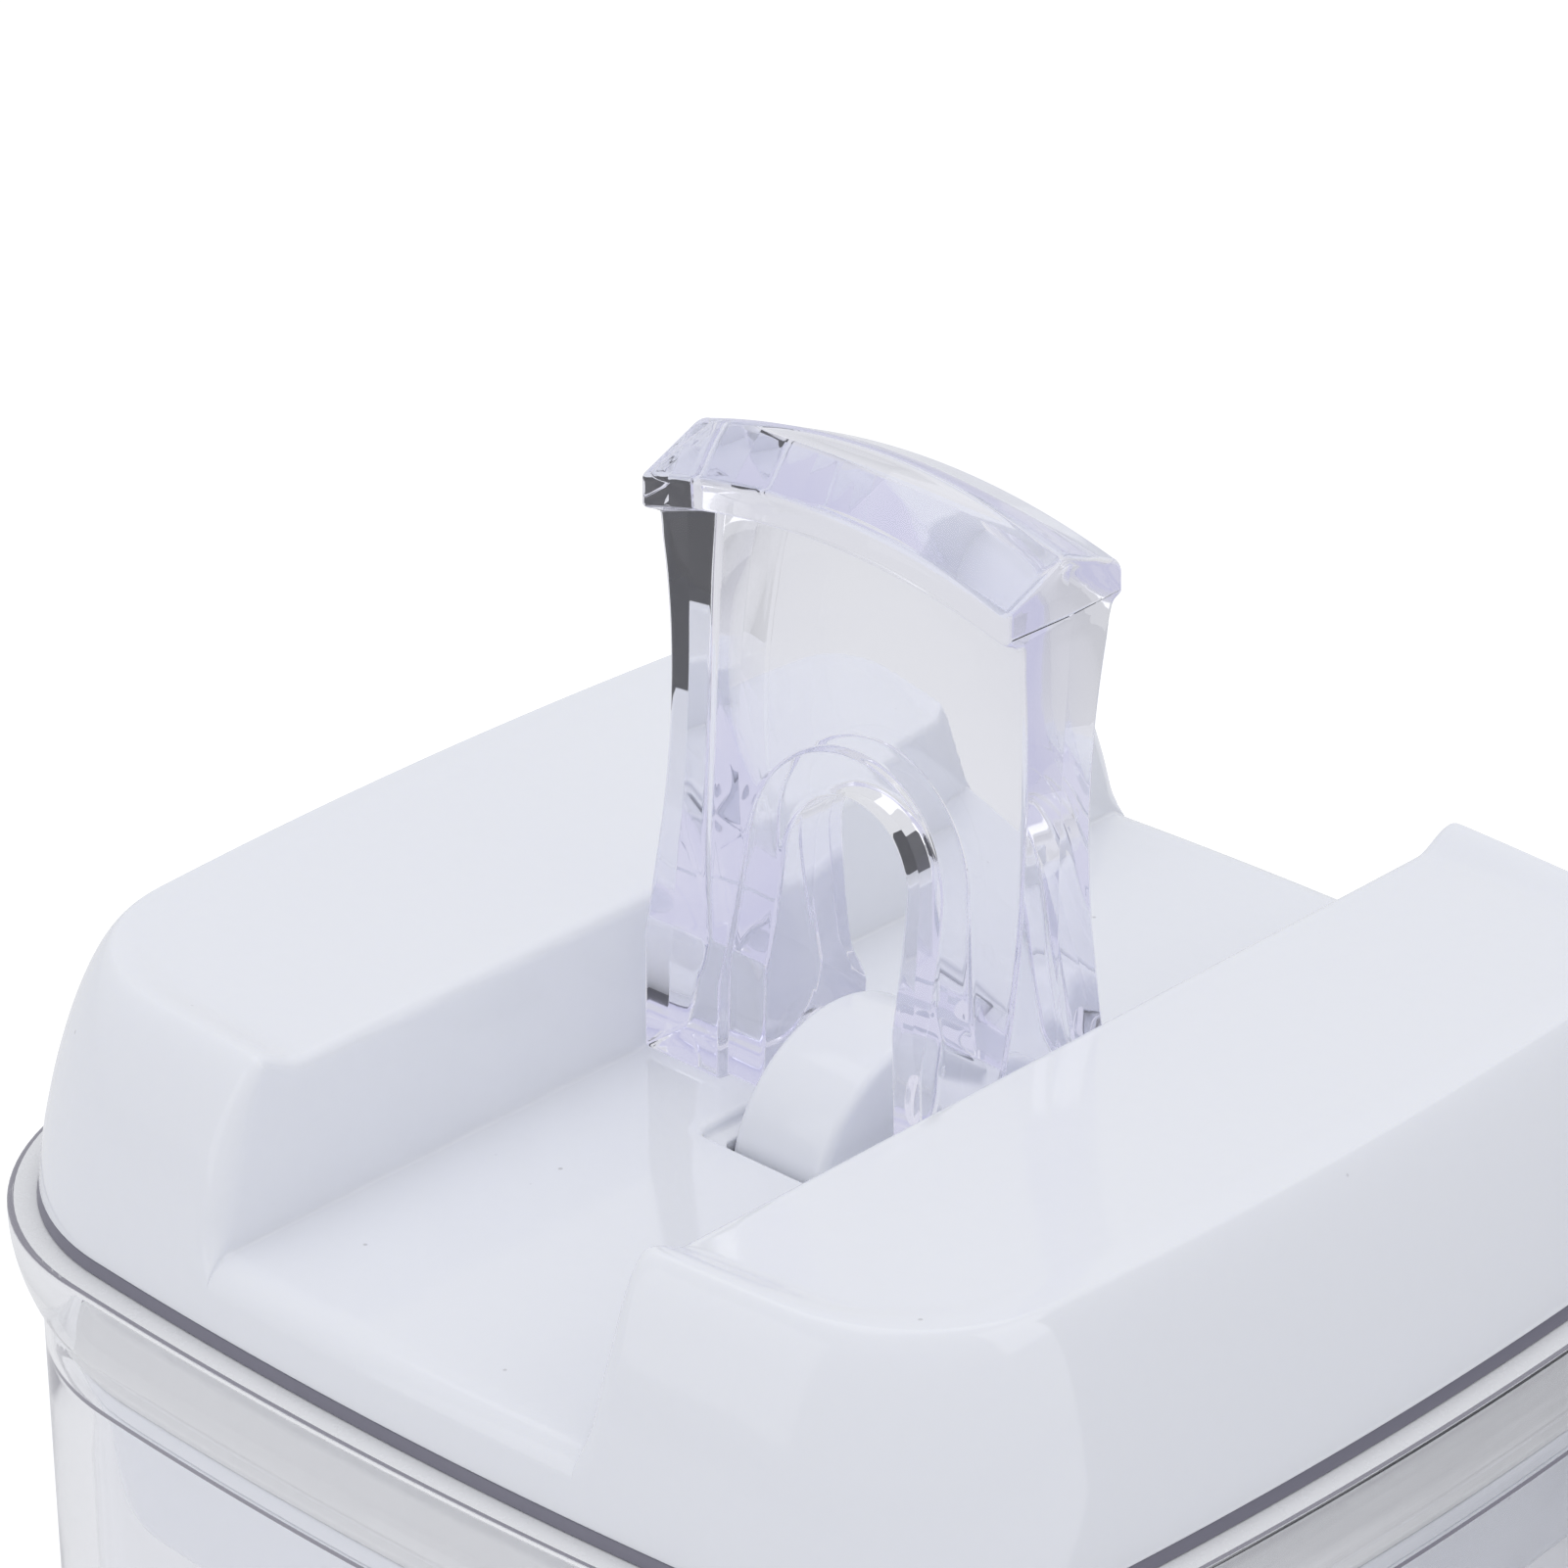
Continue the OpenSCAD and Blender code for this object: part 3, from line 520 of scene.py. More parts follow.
steel, steel_tree, steel_out = new_material("zinc_plated_steel")
steel_surface = add_node(steel_tree, "BsdfPrincipled", Metallic=1.0, IOR=2.5)
drawn = add_node(steel_tree, "Mapping", Scale=(1.0, 1.0, 12.0))
streaks = add_node(steel_tree, "TexNoise", Scale=900.0, Detail=4.0)
zinc = add_node(steel_tree, "Mix", data_type="RGBA", A=(0.66, 0.67, 0.69, 1.0), B=(0.76, 0.77, 0.78, 1.0))
zinc_rough = add_node(steel_tree, "MapRange", To_Min=0.22, To_Max=0.42)
zinc_relief = add_node(steel_tree, "Bump", Strength=0.3, Distance=0.00005)
placed(steel_tree, drawn)
wire(
    (drawn, "Vector", streaks, "Vector"), (streaks, 0, zinc, "Factor"),
    (streaks, 0, zinc_rough, "Value"), (streaks, 0, zinc_relief, "Height"),
    (zinc, "Result", steel_surface, "Base Color"), (zinc_rough, 0, steel_surface, "Roughness"),
    (zinc_relief, "Normal", steel_surface, "Normal"), (steel_surface, 0, steel_out, "Surface"),
)

for screw_node in ("base_screws", "stem_screws"):
    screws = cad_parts[screw_node]
    screws.data.materials.clear()
    screws.data.materials.append(steel)


def coil_tube(middle, low, high):
    """A round wire carried up a helix: the middle line turns COILS times from low to high at radius COIL_R, and
    the wire's circle stands across the line. Both ends are drawn together to a point."""
    turn = np.linspace(0, 2 * np.pi * COILS, COILS * COIL_STEPS + 1)
    pitch = (high - low - 2 * WIRE_R) / (2 * np.pi * COILS)
    along = unit(points(-COIL_R * np.sin(turn), COIL_R * np.cos(turn), pitch))
    out_way = points(np.cos(turn), np.sin(turn), 0.0)
    line = np.array(middle) + COIL_R * out_way + points(0.0, 0.0, low + WIRE_R + pitch * turn)
    across = np.cross(along, out_way)
    around = np.linspace(0, 2 * np.pi, WIRE_STEPS + 1)[None, :, None]
    tube = line[:, None] + WIRE_R * (np.cos(around) * out_way[:, None] + np.sin(around) * across[:, None])
    start = np.broadcast_to(line[:1, None], tube[:1].shape)
    end = np.broadcast_to(line[-1:, None], tube[:1].shape)
    return np.concatenate([start, tube, end])


for side in ("left", "right"):
    node = f"return_spring_{side}"
    low, high = box_mm(node)
    spring = make_piece(
        f"{node}_coil", [coil_tube((low + high) / 2 * (1, 1, 0), low[2], high[2])], steel, "lid", [node]
    )
    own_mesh(spring)


# Gasket: a soft silicone ring with two lips on its outside, squeezed between the under-plate and the inner plate.
# It is moulded in milky silicone with a satin skin.
GASKET_W = 4.6
LIP_IN = 0.9
LIP_Z = 1.1
LIP_END_Z = 3.0
GROOVE = 1.0
GROOVE_TOP = 2.0

silicone = plastic(
    "milky_silicone", (0.82, 0.82, 0.83, 1.0), (0.78, 0.78, 0.795, 1.0), (0.38, 0.52), 0.00002,
    IOR=1.41, Subsurface_Weight=0.3, Subsurface_Radius=(0.006, 0.006, 0.006), Subsurface_Scale=0.4,
)[0]
seal_low, seal_high = box_mm("gasket")
seal_half, seal_foot, seal_top = seal_high[0], seal_low[2], seal_high[2]
seal_middle = (seal_foot + seal_top) / 2
neck_half, inner_half = seal_half - LIP_IN, seal_half - GASKET_W
seal_path = rounded_path(
    [(inner_half, seal_middle - GROOVE), (inner_half, seal_foot), (neck_half, seal_foot),
     (seal_half, seal_foot + LIP_Z), (neck_half, seal_foot + LIP_END_Z), (neck_half, seal_top - LIP_END_Z),
     (seal_half, seal_top - LIP_Z), (neck_half, seal_top), (inner_half, seal_top),
     (inner_half, seal_top - GROOVE_TOP), (inner_half + GROOVE, seal_middle), (inner_half, seal_middle - GROOVE)],
    (0.3, 0.3, 0.35, 0.5, 0.5, 0.35, 0.3, 0.3, 0.4, 0.5), reach=1.0,
)
gasket = make_piece("gasket_ring", [carried_round(seal_path)], silicone, "lid", ["gasket"])
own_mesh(gasket)


# Under-plate: the white plate that closes the lid from below, with a deep skirt that fills the jar's mouth.
# Four screws hold it to the lid, and the stem slides through the slot in its middle.
SLOT_HALF = (4.7, 11.2)
SLOT_CORNER = 1.0
GUIDE_HALF = 30.0
SKIRT_LIP = 1.6
SKIRT_SLOPE = 4.0

base_low, base_high = box_mm("lid_base")
base_half, base_foot, base_top = base_high[0], base_low[2], base_high[2]
base_under = base_top - PLATE_T
skirt_half = PLUG_HALF - GASKET_W


def slot_rings(outline, half, grow, z):
    """Rings of a round-cornered slot, one for each growth of its half sizes and each height. Each point is the
    nearest point of the slot to the matching point of an outline around it."""
    grow, z = (np.ravel(a)[:, None] for a in np.broadcast_arrays(grow, z))
    core_half = np.array(half) - SLOT_CORNER
    core = np.clip(outline[None, :, :2], -core_half, core_half)
    flat = core + unit(outline[None, :, :2] - core) * (SLOT_CORNER + grow[..., None])
    return points(flat[..., 0], flat[..., 1], z)


base_path = rounded_path(
    [(GUIDE_HALF, base_top), (base_half, base_top), (base_half, base_under), (PLUG_HALF, base_under),
     (PLUG_HALF, base_foot), (skirt_half, base_foot), (skirt_half, base_foot + SKIRT_LIP),
     (skirt_half - SKIRT_SLOPE, base_under), (GUIDE_HALF, base_under)],
    (0.4, 0.4, 0.3, 0.4, 0.3, 0.3, 0.8),
)
guide = bowed_rings(GUIDE_HALF, 0)[0]
guide_way = np.concatenate([
    bowed_rings(GUIDE_HALF, base_top), slot_rings(guide, SLOT_HALF, 0.0, (base_top, base_under)),
    bowed_rings(GUIDE_HALF, base_under),
])
make_piece("under_plate", [carried_round(base_path), guide_way], white_plastic, "lid", ["lid_base"])


# Lid cover: one white moulding with a channel between two raised blocks. Each block has a rimmed top, scooped
# out across the lid. The channel's floor rolls down at both ends, and has a recess and a slot for the lever's lug.
SKIRT_H = 5.0
SKIRT_FOOT = 0.5
HAIR = 0.01
CREST_H = 13.5
DISH_DROP = 1.4
SCOOP_R = 500.0
LEAN = 6.3
LEAN_SIDE = 5.2
LID_DRAFT = 0.5
RIM_SLOPE = 3.9
CHANNEL_HALF = 17.9
CHANNEL_DRAFT = 0.4
END_ROLL = 2.8
LIP_H = 0.5
LIP_SET_BACK = 1.1
FLOOR_T = 2.4
LID_WALL = 2.2
END_EDGE_R = 2.0
TOP_EDGE_R = 1.1
FLOOR_R = 0.35
EDGE_RAMP = 3.0
LEAN_POWER = 1.5
END_STEPS = 8
TURN_ROWS = 14
LEAST_STEP = 0.006
PATCH_HALF = (9.0, 15.0)
RECESS_HALF = (6.2, 12.0)
RECESS_DEPTH = 0.9
RECESS_R = 0.6
RECESS_FOOT = 0.2
SLOT_R = 0.2
SLOT_MIDDLE_Z = -1.6

lid_high = box_mm("lid_cover")[1]
LID_HALF = lid_high[0]
FLOOR_Z = lid_high[2] - CREST_H


def smooth(share):
    """A share from 0 to 1, eased at both ends."""
    return share**2 * (3 - 2 * share)


def bow(x):
    """How far the bowed ends fall back at a distance from the middle: an arc of BOW_R."""
    return np.sqrt(BOW_R**2 - x**2) - BOW_R


def scoop_z(x):
    """Height of the scooped tops above the floor: a wide arc of SCOOP_R across the lid."""
    return CREST_H - DISH_DROP + (x**2 - (CHANNEL_HALF + CHANNEL_DRAFT) ** 2) / (2 * SCOOP_R)


def channel_wall_x(z):
    """Half width of the channel at a height: it opens upwards by CHANNEL_DRAFT."""
    return CHANNEL_HALF + CHANNEL_DRAFT * np.clip(z, 0, CREST_H) / CREST_H


def side_arc(half, widen, edge):
    """The part of each bowed ring on the right of the channel, from its near edge round to its far edge:
    end arc, corner, side arc, corner, end arc, each row cut off at its own distance from the middle."""
    half, widen, edge = (np.ravel(a)[:, None] for a in np.broadcast_arrays(half, widen, edge))
    stretch = 1 + widen / half
    corner_r, side_x, centre, turn, around = ring_form(half)
    cut = np.arcsin(edge / stretch / BOW_R)
    end = cut + (turn - cut) * np.linspace(0, 1, END_STEPS + 1)[:-1]
    along = turn * np.linspace(-1, 1, 2 * SIDE_STEPS + 1)
    x = [BOW_R * np.sin(end), centre + corner_r * np.sin(around), side_x + BOW_R * np.cos(along)]
    y = [-side_x - BOW_R * np.cos(end), -centre - corner_r * np.cos(around), BOW_R * np.sin(along)]
    x = np.hstack(x + [x[1][:, ::-1], x[0][:, ::-1]])
    y = np.hstack(y + [-y[1][:, ::-1], -y[0][:, ::-1]])
    return x * stretch, y


low_path = rounded_path(
    [(LID_HALF - LID_WALL, -FLOOR_T), (LID_HALF - LID_WALL, -SKIRT_H - LIP_H),
     (LID_HALF - LIP_SET_BACK, -SKIRT_H - LIP_H), (LID_HALF - LIP_SET_BACK, -SKIRT_H),
     (LID_HALF, -SKIRT_H), (LID_HALF - HAIR, -SKIRT_H + SKIRT_FOOT)], (0.2, 0.3, 0.2, 0.25),
)[:-1]
low_angle = np.arcsin(np.linspace(SKIRT_FOOT, SKIRT_H, 26) / (CREST_H + SKIRT_H))
lean_angle = np.concatenate([low_angle, np.linspace(low_angle[-1], np.pi / 2, 46)[1:]])
rise = np.sin(lean_angle)
lean_in = 1 - (1 - rise**LEAN_POWER) ** (1 / LEAN_POWER)
slope = np.linspace(0, 1, 22)[1:]
LOW_ROWS = len(low_path)
WALL_ROWS = LOW_ROWS + len(rise)
row_half = np.concatenate([
    low_path[:, 0],
    LID_HALF - LID_DRAFT * rise - LEAN * lean_in,
    LID_HALF - LEAN - LID_DRAFT - RIM_SLOPE * slope,
])
row_widen = np.concatenate([
    np.zeros(LOW_ROWS), (LEAN - LEAN_SIDE) * lean_in, np.full(len(slope), LEAN - LEAN_SIDE)
])
row_z = np.concatenate([low_path[:, 1], -SKIRT_H + (CREST_H + SKIRT_H) * rise, np.full(len(slope), CREST_H)])
row_down = np.concatenate([np.zeros(WALL_ROWS), (1 - np.cos(np.pi * slope)) / 2])
row_edge_r = END_EDGE_R + (TOP_EDGE_R - END_EDGE_R) * smooth(np.clip(2 * row_z / CREST_H - 1, 0, 1))
row_edge = channel_wall_x(row_z) + row_edge_r

skin_x, skin_y = side_arc(row_half, row_widen, row_edge)
skin_z = row_z[:, None] + (scoop_z(skin_x) - CREST_H) * row_down[:, None]
skin = points(skin_x, skin_y, skin_z)

step = np.linalg.norm(np.diff(skin[-1], axis=0), axis=1)
step_share = np.concatenate([[0], np.cumsum(step)]) / step.sum()
chord_y = skin[-1, 0, 1] + (skin[-1, -1, 1] - skin[-1, 0, 1]) * step_share
chord = points(row_edge[-1], chord_y)
across = np.linspace(0, 1, 13)[:, None, None]
top_xy = skin[None, -1, :, :2] * (1 - across) + chord[None] * across
top = np.concatenate([top_xy, scoop_z(top_xy[..., :1])], axis=-1)

edge = np.concatenate([skin[:, 0], top[-1, 1:-1], skin[::-1, -1]])
edge_r = np.concatenate([row_edge_r, np.full(top.shape[1] - 2, TOP_EDGE_R), row_edge_r[::-1]])
tangent = unit(np.gradient(edge[:, 1:], axis=0))
inward = points(tangent[:, 1], -tangent[:, 0])
spread = np.pad(inward, ((TURN_ROWS, TURN_ROWS), (0, 0)), mode="edge").cumsum(axis=0)
inward = unit(spread[2 * TURN_ROWS :] - np.concatenate([np.zeros((1, 2)), spread])[: len(inward)])


def floor_height(y, end_y):
    """Height of the channel's floor: level, then a quarter circle of END_ROLL down to the lid's end."""
    inside = np.clip(end_y - np.abs(y), 0, END_ROLL)
    return -END_ROLL + np.sqrt(END_ROLL**2 - (END_ROLL - inside) ** 2)


def steadily_rising(y):
    """The nearest values that rise from row to row by LEAST_STEP or more: the mean of the running greatest from the
    front and the running least from the back."""
    steps = LEAST_STEP * np.arange(len(y))
    from_front = np.maximum.accumulate(y - steps)
    from_back = np.minimum.accumulate((y - steps)[::-1])[::-1]
    return (from_front + from_back) / 2 + steps


end_y = np.interp(-END_ROLL, row_z[LOW_ROWS:WALL_ROWS], -skin[LOW_ROWS:WALL_ROWS, 0, 1])
below = edge[:, 2] <= -END_ROLL
bare_height = np.where(below, 0, np.maximum(edge[:, 2] - floor_height(edge[:, 1], end_y), 0))
ramp = smooth(np.clip(bare_height / EDGE_RAMP, 0, 1))
wall_top_y = edge[:, 1] + inward[:, 0] * edge_r * ramp
upper = edge[:, 2] > CREST_H / 2
wall_top_y[upper] = steadily_rising(wall_top_y[upper])
wall_top_z = edge[:, 2] + inward[:, 1] * edge_r * ramp
floor_z = np.where(below, wall_top_z, np.minimum(floor_height(wall_top_y, end_y), wall_top_z))
fillet = np.minimum(FLOOR_R, (wall_top_z - floor_z) / 2)
wall_foot_x = channel_wall_x(floor_z)

quarter = np.linspace(0, np.pi / 2, 8)
inset, drop = 1 - np.sin(quarter), 1 - np.cos(quarter)
round_x = edge[:, :1] - (edge[:, :1] - channel_wall_x(wall_top_z)[:, None]) * np.sin(quarter)
round_y = edge[:, 1:2] + (wall_top_y - edge[:, 1])[:, None] * drop
round_z = edge[:, 2:] + (wall_top_z - edge[:, 2])[:, None] * drop
down = np.linspace(0, 1, 9)[1:-1]
wall_z = wall_top_z[:, None] + (floor_z + fillet - wall_top_z)[:, None] * down
wall_x = channel_wall_x(wall_z)
fillet_x = wall_foot_x[:, None] - fillet[:, None] * drop
fillet_z = floor_z[:, None] + fillet[:, None] * inset
floor_share = np.concatenate([np.linspace(1, 0.52, 9)[1:], np.linspace(0.5, 0, 11)])
floor_x = (wall_foot_x - fillet)[:, None] * floor_share
patch_column = np.argmin(np.abs(floor_share - PATCH_HALF[0] / (CHANNEL_HALF - FLOOR_R)))

mirror = np.array([-1, 1, 1])
half_x = np.hstack([round_x, wall_x, fillet_x, floor_x])
half_z = np.hstack([round_z, wall_z, fillet_z, np.repeat(floor_z[:, None], len(floor_share), axis=1)])
half_y = np.hstack([round_y, np.repeat(wall_top_y[:, None], half_x.shape[1] - len(quarter), axis=1)])
half_y = half_y * (1 + (bow(half_x) - bow(edge[:, :1])) / end_y)
channel = points(half_x, half_y, half_z)
channel = np.hstack([channel, channel[:, -2::-1] * mirror])

first_column = half_x.shape[1] - len(floor_share) + patch_column
last_column = channel.shape[1] - 1 - first_column
first_row = np.argmax(wall_top_y > -PATCH_HALF[1])
last_row = len(wall_top_y) - 1 - np.argmax(wall_top_y[::-1] < PATCH_HALF[1])
keep = np.ones((channel.shape[0] - 1, channel.shape[1] - 1), bool)
keep[first_row:last_row, first_column:last_column] = False
rim = np.concatenate([
    channel[first_row, first_column:last_column], channel[first_row:last_row, last_column],
    channel[last_row, last_column:first_column:-1], channel[last_row:first_row:-1, first_column],
    channel[first_row, first_column:first_column + 1],
])
recess_edge = slot_rings(rim, RECESS_HALF, RECESS_R * inset, -RECESS_R * drop)
rim_share = np.linspace(0, 1, 4)[:-1, None, None]
slot = np.concatenate([
    rim[None] * (1 - rim_share) + recess_edge[:1] * rim_share, recess_edge,
    slot_rings(rim, RECESS_HALF, np.array((-0.25, -1, -2)) * RECESS_FOOT,
               np.array((1, 0.25, 0)) * RECESS_FOOT - RECESS_DEPTH),
    slot_rings(rim, SLOT_HALF, SLOT_R * inset, -RECESS_DEPTH - SLOT_R * drop),
    slot_rings(rim, SLOT_HALF, 0.0, (SLOT_MIDDLE_Z, -FLOOR_T)),
])

to_lid = np.array([0, 0, FLOOR_Z])
make_piece(
    "lid_cover_channelled",
    [skin + to_lid, skin * mirror + to_lid, top + to_lid, top * mirror + to_lid, (channel + to_lid, keep),
     slot + to_lid],
    white_plastic, "lid", ["lid_cover"], fill_holes=True,
)


# Painted gap shade: a thin dark grey-violet ring in the gap between the lid's edge and the jar's rim, seen all round.
# Its dark colour is painted shade that stands in for the shadowed gap under the lid's edge.
STRIP_IN = 0.12
STRIP_OUT = 0.25
STRIP_GAP = 0.1
STRIP_LAP = 0.03

strip_inner, strip_low, strip_high = LID_HALF - LIP_SET_BACK + STRIP_LAP, JAR_H + STRIP_GAP, FLOOR_Z - SKIRT_H - HAIR
# Painted shade: the ring's dark colour stands in for the shade in the gap under the lid's edge.
painted_gap_shade = plastic(
    "painted_gap_shade_material", (0.2, 0.195, 0.245, 1.0), (0.185, 0.18, 0.23, 1.0), (0.3, 0.45), 0.00001,
)[0]
strip_path = rounded_path(
    [(strip_inner, (strip_low + strip_high) / 2), (strip_inner, strip_low), (LID_HALF + STRIP_OUT, strip_low),
     (LID_HALF - STRIP_IN, strip_high), (strip_inner, strip_high), (strip_inner, (strip_low + strip_high) / 2)],
    (0.05, 0.1, 0.1, 0.05), steps=3,
)
make_piece("painted_gap_shade_strip", [carried_round(strip_path)], painted_gap_shade, "lid")


# Stem: the round white lug that the lever turns on. Its column runs down through the slot to the inner plate.
# It is moulded with the plate's white plastic, and its edges are well rounded.
LUG_R = 10.9
LUG_HALF = 4.4
LUG_ROUND = 0.8
NECK_TURN = 0.35
FOOT_X = 14.0
FOOT_T = 4.8
FOOT_SET_BACK = 1.0
FOOT_ROUND = 0.5
FACE_ROWS = 5

stem_low, stem_high = box_mm("stem")
lug_z = stem_high[2] - LUG_R
column_low = stem_low[2] + FOOT_T


def rounded_slab(outline, middle, half, radius):
    """A slab across X with the given outline in Y and Z: its edges are quarter circles of the radius, and its two
    faces run in to a point in the middle."""
    tangent = np.roll(outline, -1, axis=0) - np.roll(outline, 1, axis=0)
    normal = unit(points(tangent[:, 1], -tangent[:, 0]))
    quarter = np.linspace(0, np.pi / 2, 9)
    inset = radius * (1 - np.sin(quarter))
    x = half - radius * (1 - np.cos(quarter))
    rim = outline[None] - normal[None] * inset[:, None, None]
    face = np.array(middle) + (rim[:1] - middle) * np.linspace(0, 1, FACE_ROWS + 1)[:-1, None, None]
    flat = np.concatenate([face, rim, rim[::-1], face[::-1]])
    x = np.concatenate([np.full(FACE_ROWS, half), x, -x[::-1], np.full(FACE_ROWS, -half)])
    grid = points(x[:, None], flat[..., 0], flat[..., 1])
    return np.concatenate([grid, grid[:, :1]], axis=1)


lug_turn = np.linspace(-NECK_TURN, np.pi + NECK_TURN, 90)
column_y = LUG_R * np.cos(NECK_TURN)
column_z = np.linspace(lug_z - LUG_R * np.sin(NECK_TURN), column_low, 10)[1:-1]
lug_outline = np.concatenate([
    points(LUG_R * np.cos(lug_turn), lug_z + LUG_R * np.sin(lug_turn)), points(-column_y, column_z),
    points(np.linspace(-column_y, column_y, 14), column_low), points(column_y, column_z[::-1]),
])
foot_y = np.linspace(-1, 1, 12) * (column_y - FOOT_SET_BACK)
foot_outline = np.concatenate([points(foot_y, stem_low[2]), points(foot_y[::-1], column_low)])
make_piece(
    "stem_lug",
    [rounded_slab(lug_outline, (0, lug_z), LUG_HALF, LUG_ROUND),
     rounded_slab(foot_outline, (0, stem_low[2] + FOOT_T / 2), FOOT_X, FOOT_ROUND)],
    white_plastic, "plunger", ["stem"],
)


# Lever: the clear flip lever, with ball-shaped hollows at its front and back and shallow ones at its sides, an arched
# and ridged bar at the top, a slot with a border at its own depth, a cam at the back of each foot and two pegs.
# It is moulded in one piece in clear, faintly violet plastic, and fine turning marks of the mould show in the hollow.
LEVER_HALF = 17.4
LEVER_THICK = 6.1
WAIST_THICK = 3.65
FACE_BLEND = 0.15
FACE_R = 88.0
FRONT_WAIST_Z = 30.5
BACK_WAIST_Z = 26.0
SIDE_WAIST = 17.0
SIDE_BLEND = 0.05
SIDE_RIDGE = 0.22
SLOT_RIDGE = 0.12
SIDE_R = 300.0
BAR_LOW = 43.8
BAR_CHAMFER = 1.4
BAR_STEP = 0.24
BAR_HIGH = 46.2
BAR_CROWN = 2.6
BAR_ARCH = 2.6
FRONT_BAR_R = (0.5, 0.45, 0.7, 1.6)
BACK_BAR_R = (0.5, 0.6, 1.3, 1.6)
ARCH_RAMP = 6.0
ARCH_HALF = 5.8
ARCH_Z = 19.45
ARCH_SPLAY = 0.03
BORDER_W = 3.55
BORDER_IN = 1.0
BORDER_STEP = 0.25
BORDER_GROOVE = 0.12
GROOVE_W = 0.1
HOLLOW_LIFT = 0.03
HOLLOW_END = 2.5
TURNED_Z = 33.0
PIVOT_H = 3.4
CAM_REACH = 3.1
CAM_RATE = 1.9
SHIN_LEAN = 0.2
PEG_R = 2.0
PEG_GAP = 0.04
PEG_LAP = 0.02
PEG_EDGE = 0.15
PEG_STEP = 0.2
LEVER_EDGE = 0.35
BAR_EDGE = 0.7
EDGE_CHANGE = (-3.0, 1.0)
TOE_R = 0.5
JOIN_Z = 36.0
FOOT_MIDDLE_Y = -2.0
FOOT_TOP = 2.0
FOOT_EDGE = 0.4
SHIN_FADE = 4.0


def soft_min(a, b, width):
    """The lesser of two values, rounded off where they cross over about the given width."""
    share = np.clip(0.5 + (b - a) / (2 * width), 0, 1)
    return a * share + b * (1 - share) - width * share * (1 - share)


def face_hollow(z, waist_z):
    """Half thickness at a height before it is capped: an arc of FACE_R, thinnest at the waist."""
    return WAIST_THICK + FACE_R - np.sqrt(FACE_R**2 - (z - waist_z) ** 2)


def face_depth(z, waist_z):
    """Half thickness at a height: the hollow, up to LEVER_THICK at the foot."""
    return soft_min(face_hollow(z, waist_z), LEVER_THICK, FACE_BLEND)


def side_half(z):
    """Half width at a height: an arc of SIDE_R between the foot and the bar."""
    hollow = SIDE_WAIST + SIDE_R - np.sqrt(SIDE_R**2 - (z - FRONT_WAIST_Z) ** 2)
    bar = np.interp(z, (BAR_LOW - BAR_CHAMFER, BAR_LOW), (SIDE_WAIST + BAR_STEP, LEVER_HALF))
    return np.where(z < BAR_LOW - BAR_CHAMFER, soft_min(hollow, LEVER_HALF, SIDE_BLEND), bar)


def side_edge(z):
    """Radius of the edges along the sides: LEVER_EDGE, and BAR_EDGE at the bar's ends."""
    return np.interp(z - BAR_LOW, EDGE_CHANGE, (LEVER_EDGE, BAR_EDGE))


def slot_half(z):
    """Half width of the slot at a height below its round top: the legs spread towards the foot."""
    return ARCH_HALF + ARCH_SPLAY * (ARCH_Z - z)


def hollow_depth(x, z):
    """How much deeper the hollow is away from the sides: part of a ball of FACE_R across the lever, and deeper
    towards the bar by HOLLOW_LIFT for each millimetre."""
    return np.maximum(LEVER_HALF**2 - x**2, 0) / (2 * FACE_R) * (1 + HOLLOW_LIFT * (z - FRONT_WAIST_Z))


def hollow_change(x, z, waist_z):
    """Change of a half thickness away from the sides: the hollow's depth, up to LEVER_THICK at the foot."""
    hollow = face_hollow(z, waist_z) - hollow_depth(x, z)
    return soft_min(hollow, LEVER_THICK, FACE_BLEND) - face_depth(z, waist_z)


def with_border(change, off):
    """Change of a half thickness by the border: within BORDER_W of the slot the face lies BORDER_IN in, above the
    hollow round the arch and below the legs, with a step BORDER_STEP wide and a fine groove along it."""
    share = smooth(np.clip((BORDER_W - off) / BORDER_STEP + 0.5, 0, 1))
    groove = BORDER_GROOVE * np.exp(-(((off - BORDER_W) / GROOVE_W) ** 2))
    return change + (-BORDER_IN - change) * share - groove


# Stations up the right leg, on the front and on the back, both starting under the middle of the foot.
foot_z = PIVOT_H - CAM_REACH
front_leg = rounded_path(
    [(-FOOT_MIDDLE_Y, foot_z), (LEVER_THICK, foot_z), (LEVER_THICK, ARCH_Z)], (TOE_R,), steps=8, counts=(6, 46)
)
front_leg[:, 0] = np.where(front_leg[:, 1] > 2 * TOE_R, face_depth(front_leg[:, 1], FRONT_WAIST_Z), front_leg[:, 0])
cam_turn = np.linspace(0, np.pi / 2, 21)
cam_reach = CAM_REACH + CAM_RATE * cam_turn
cam = points(
    cam_reach * np.sin(cam_turn) + CAM_RATE * np.cos(cam_turn),
    PIVOT_H - cam_reach * np.cos(cam_turn) + CAM_RATE * np.sin(cam_turn),
)
heel = np.linspace(FOOT_MIDDLE_Y, CAM_RATE, 5)[:-1]
shin_z = np.linspace(cam[-1, 1], ARCH_Z, 37)[1:]
shin = np.maximum(face_depth(shin_z, BACK_WAIST_Z), cam[-1, 0] - SHIN_LEAN * (shin_z - cam[-1, 1]))
back_leg = np.concatenate([points(heel, foot_z), cam, points(shin, shin_z)])

# Stations round the arch, on straight rays from its centre out to the right side and to the line under the bar.
side_z = np.linspace(ARCH_Z, JOIN_Z, 31)[1:]
join_share = np.linspace(1, 0, 41)
join_half = side_half(np.array(JOIN_Z)) - LEVER_EDGE
outer = np.concatenate([points(side_half(side_z) - LEVER_EDGE, side_z), points(join_half * join_share[1:], JOIN_Z)])
ray = outer - np.array([0, ARCH_Z])
ray_length = np.linalg.norm(ray, axis=1)
ray /= ray_length[:, None]

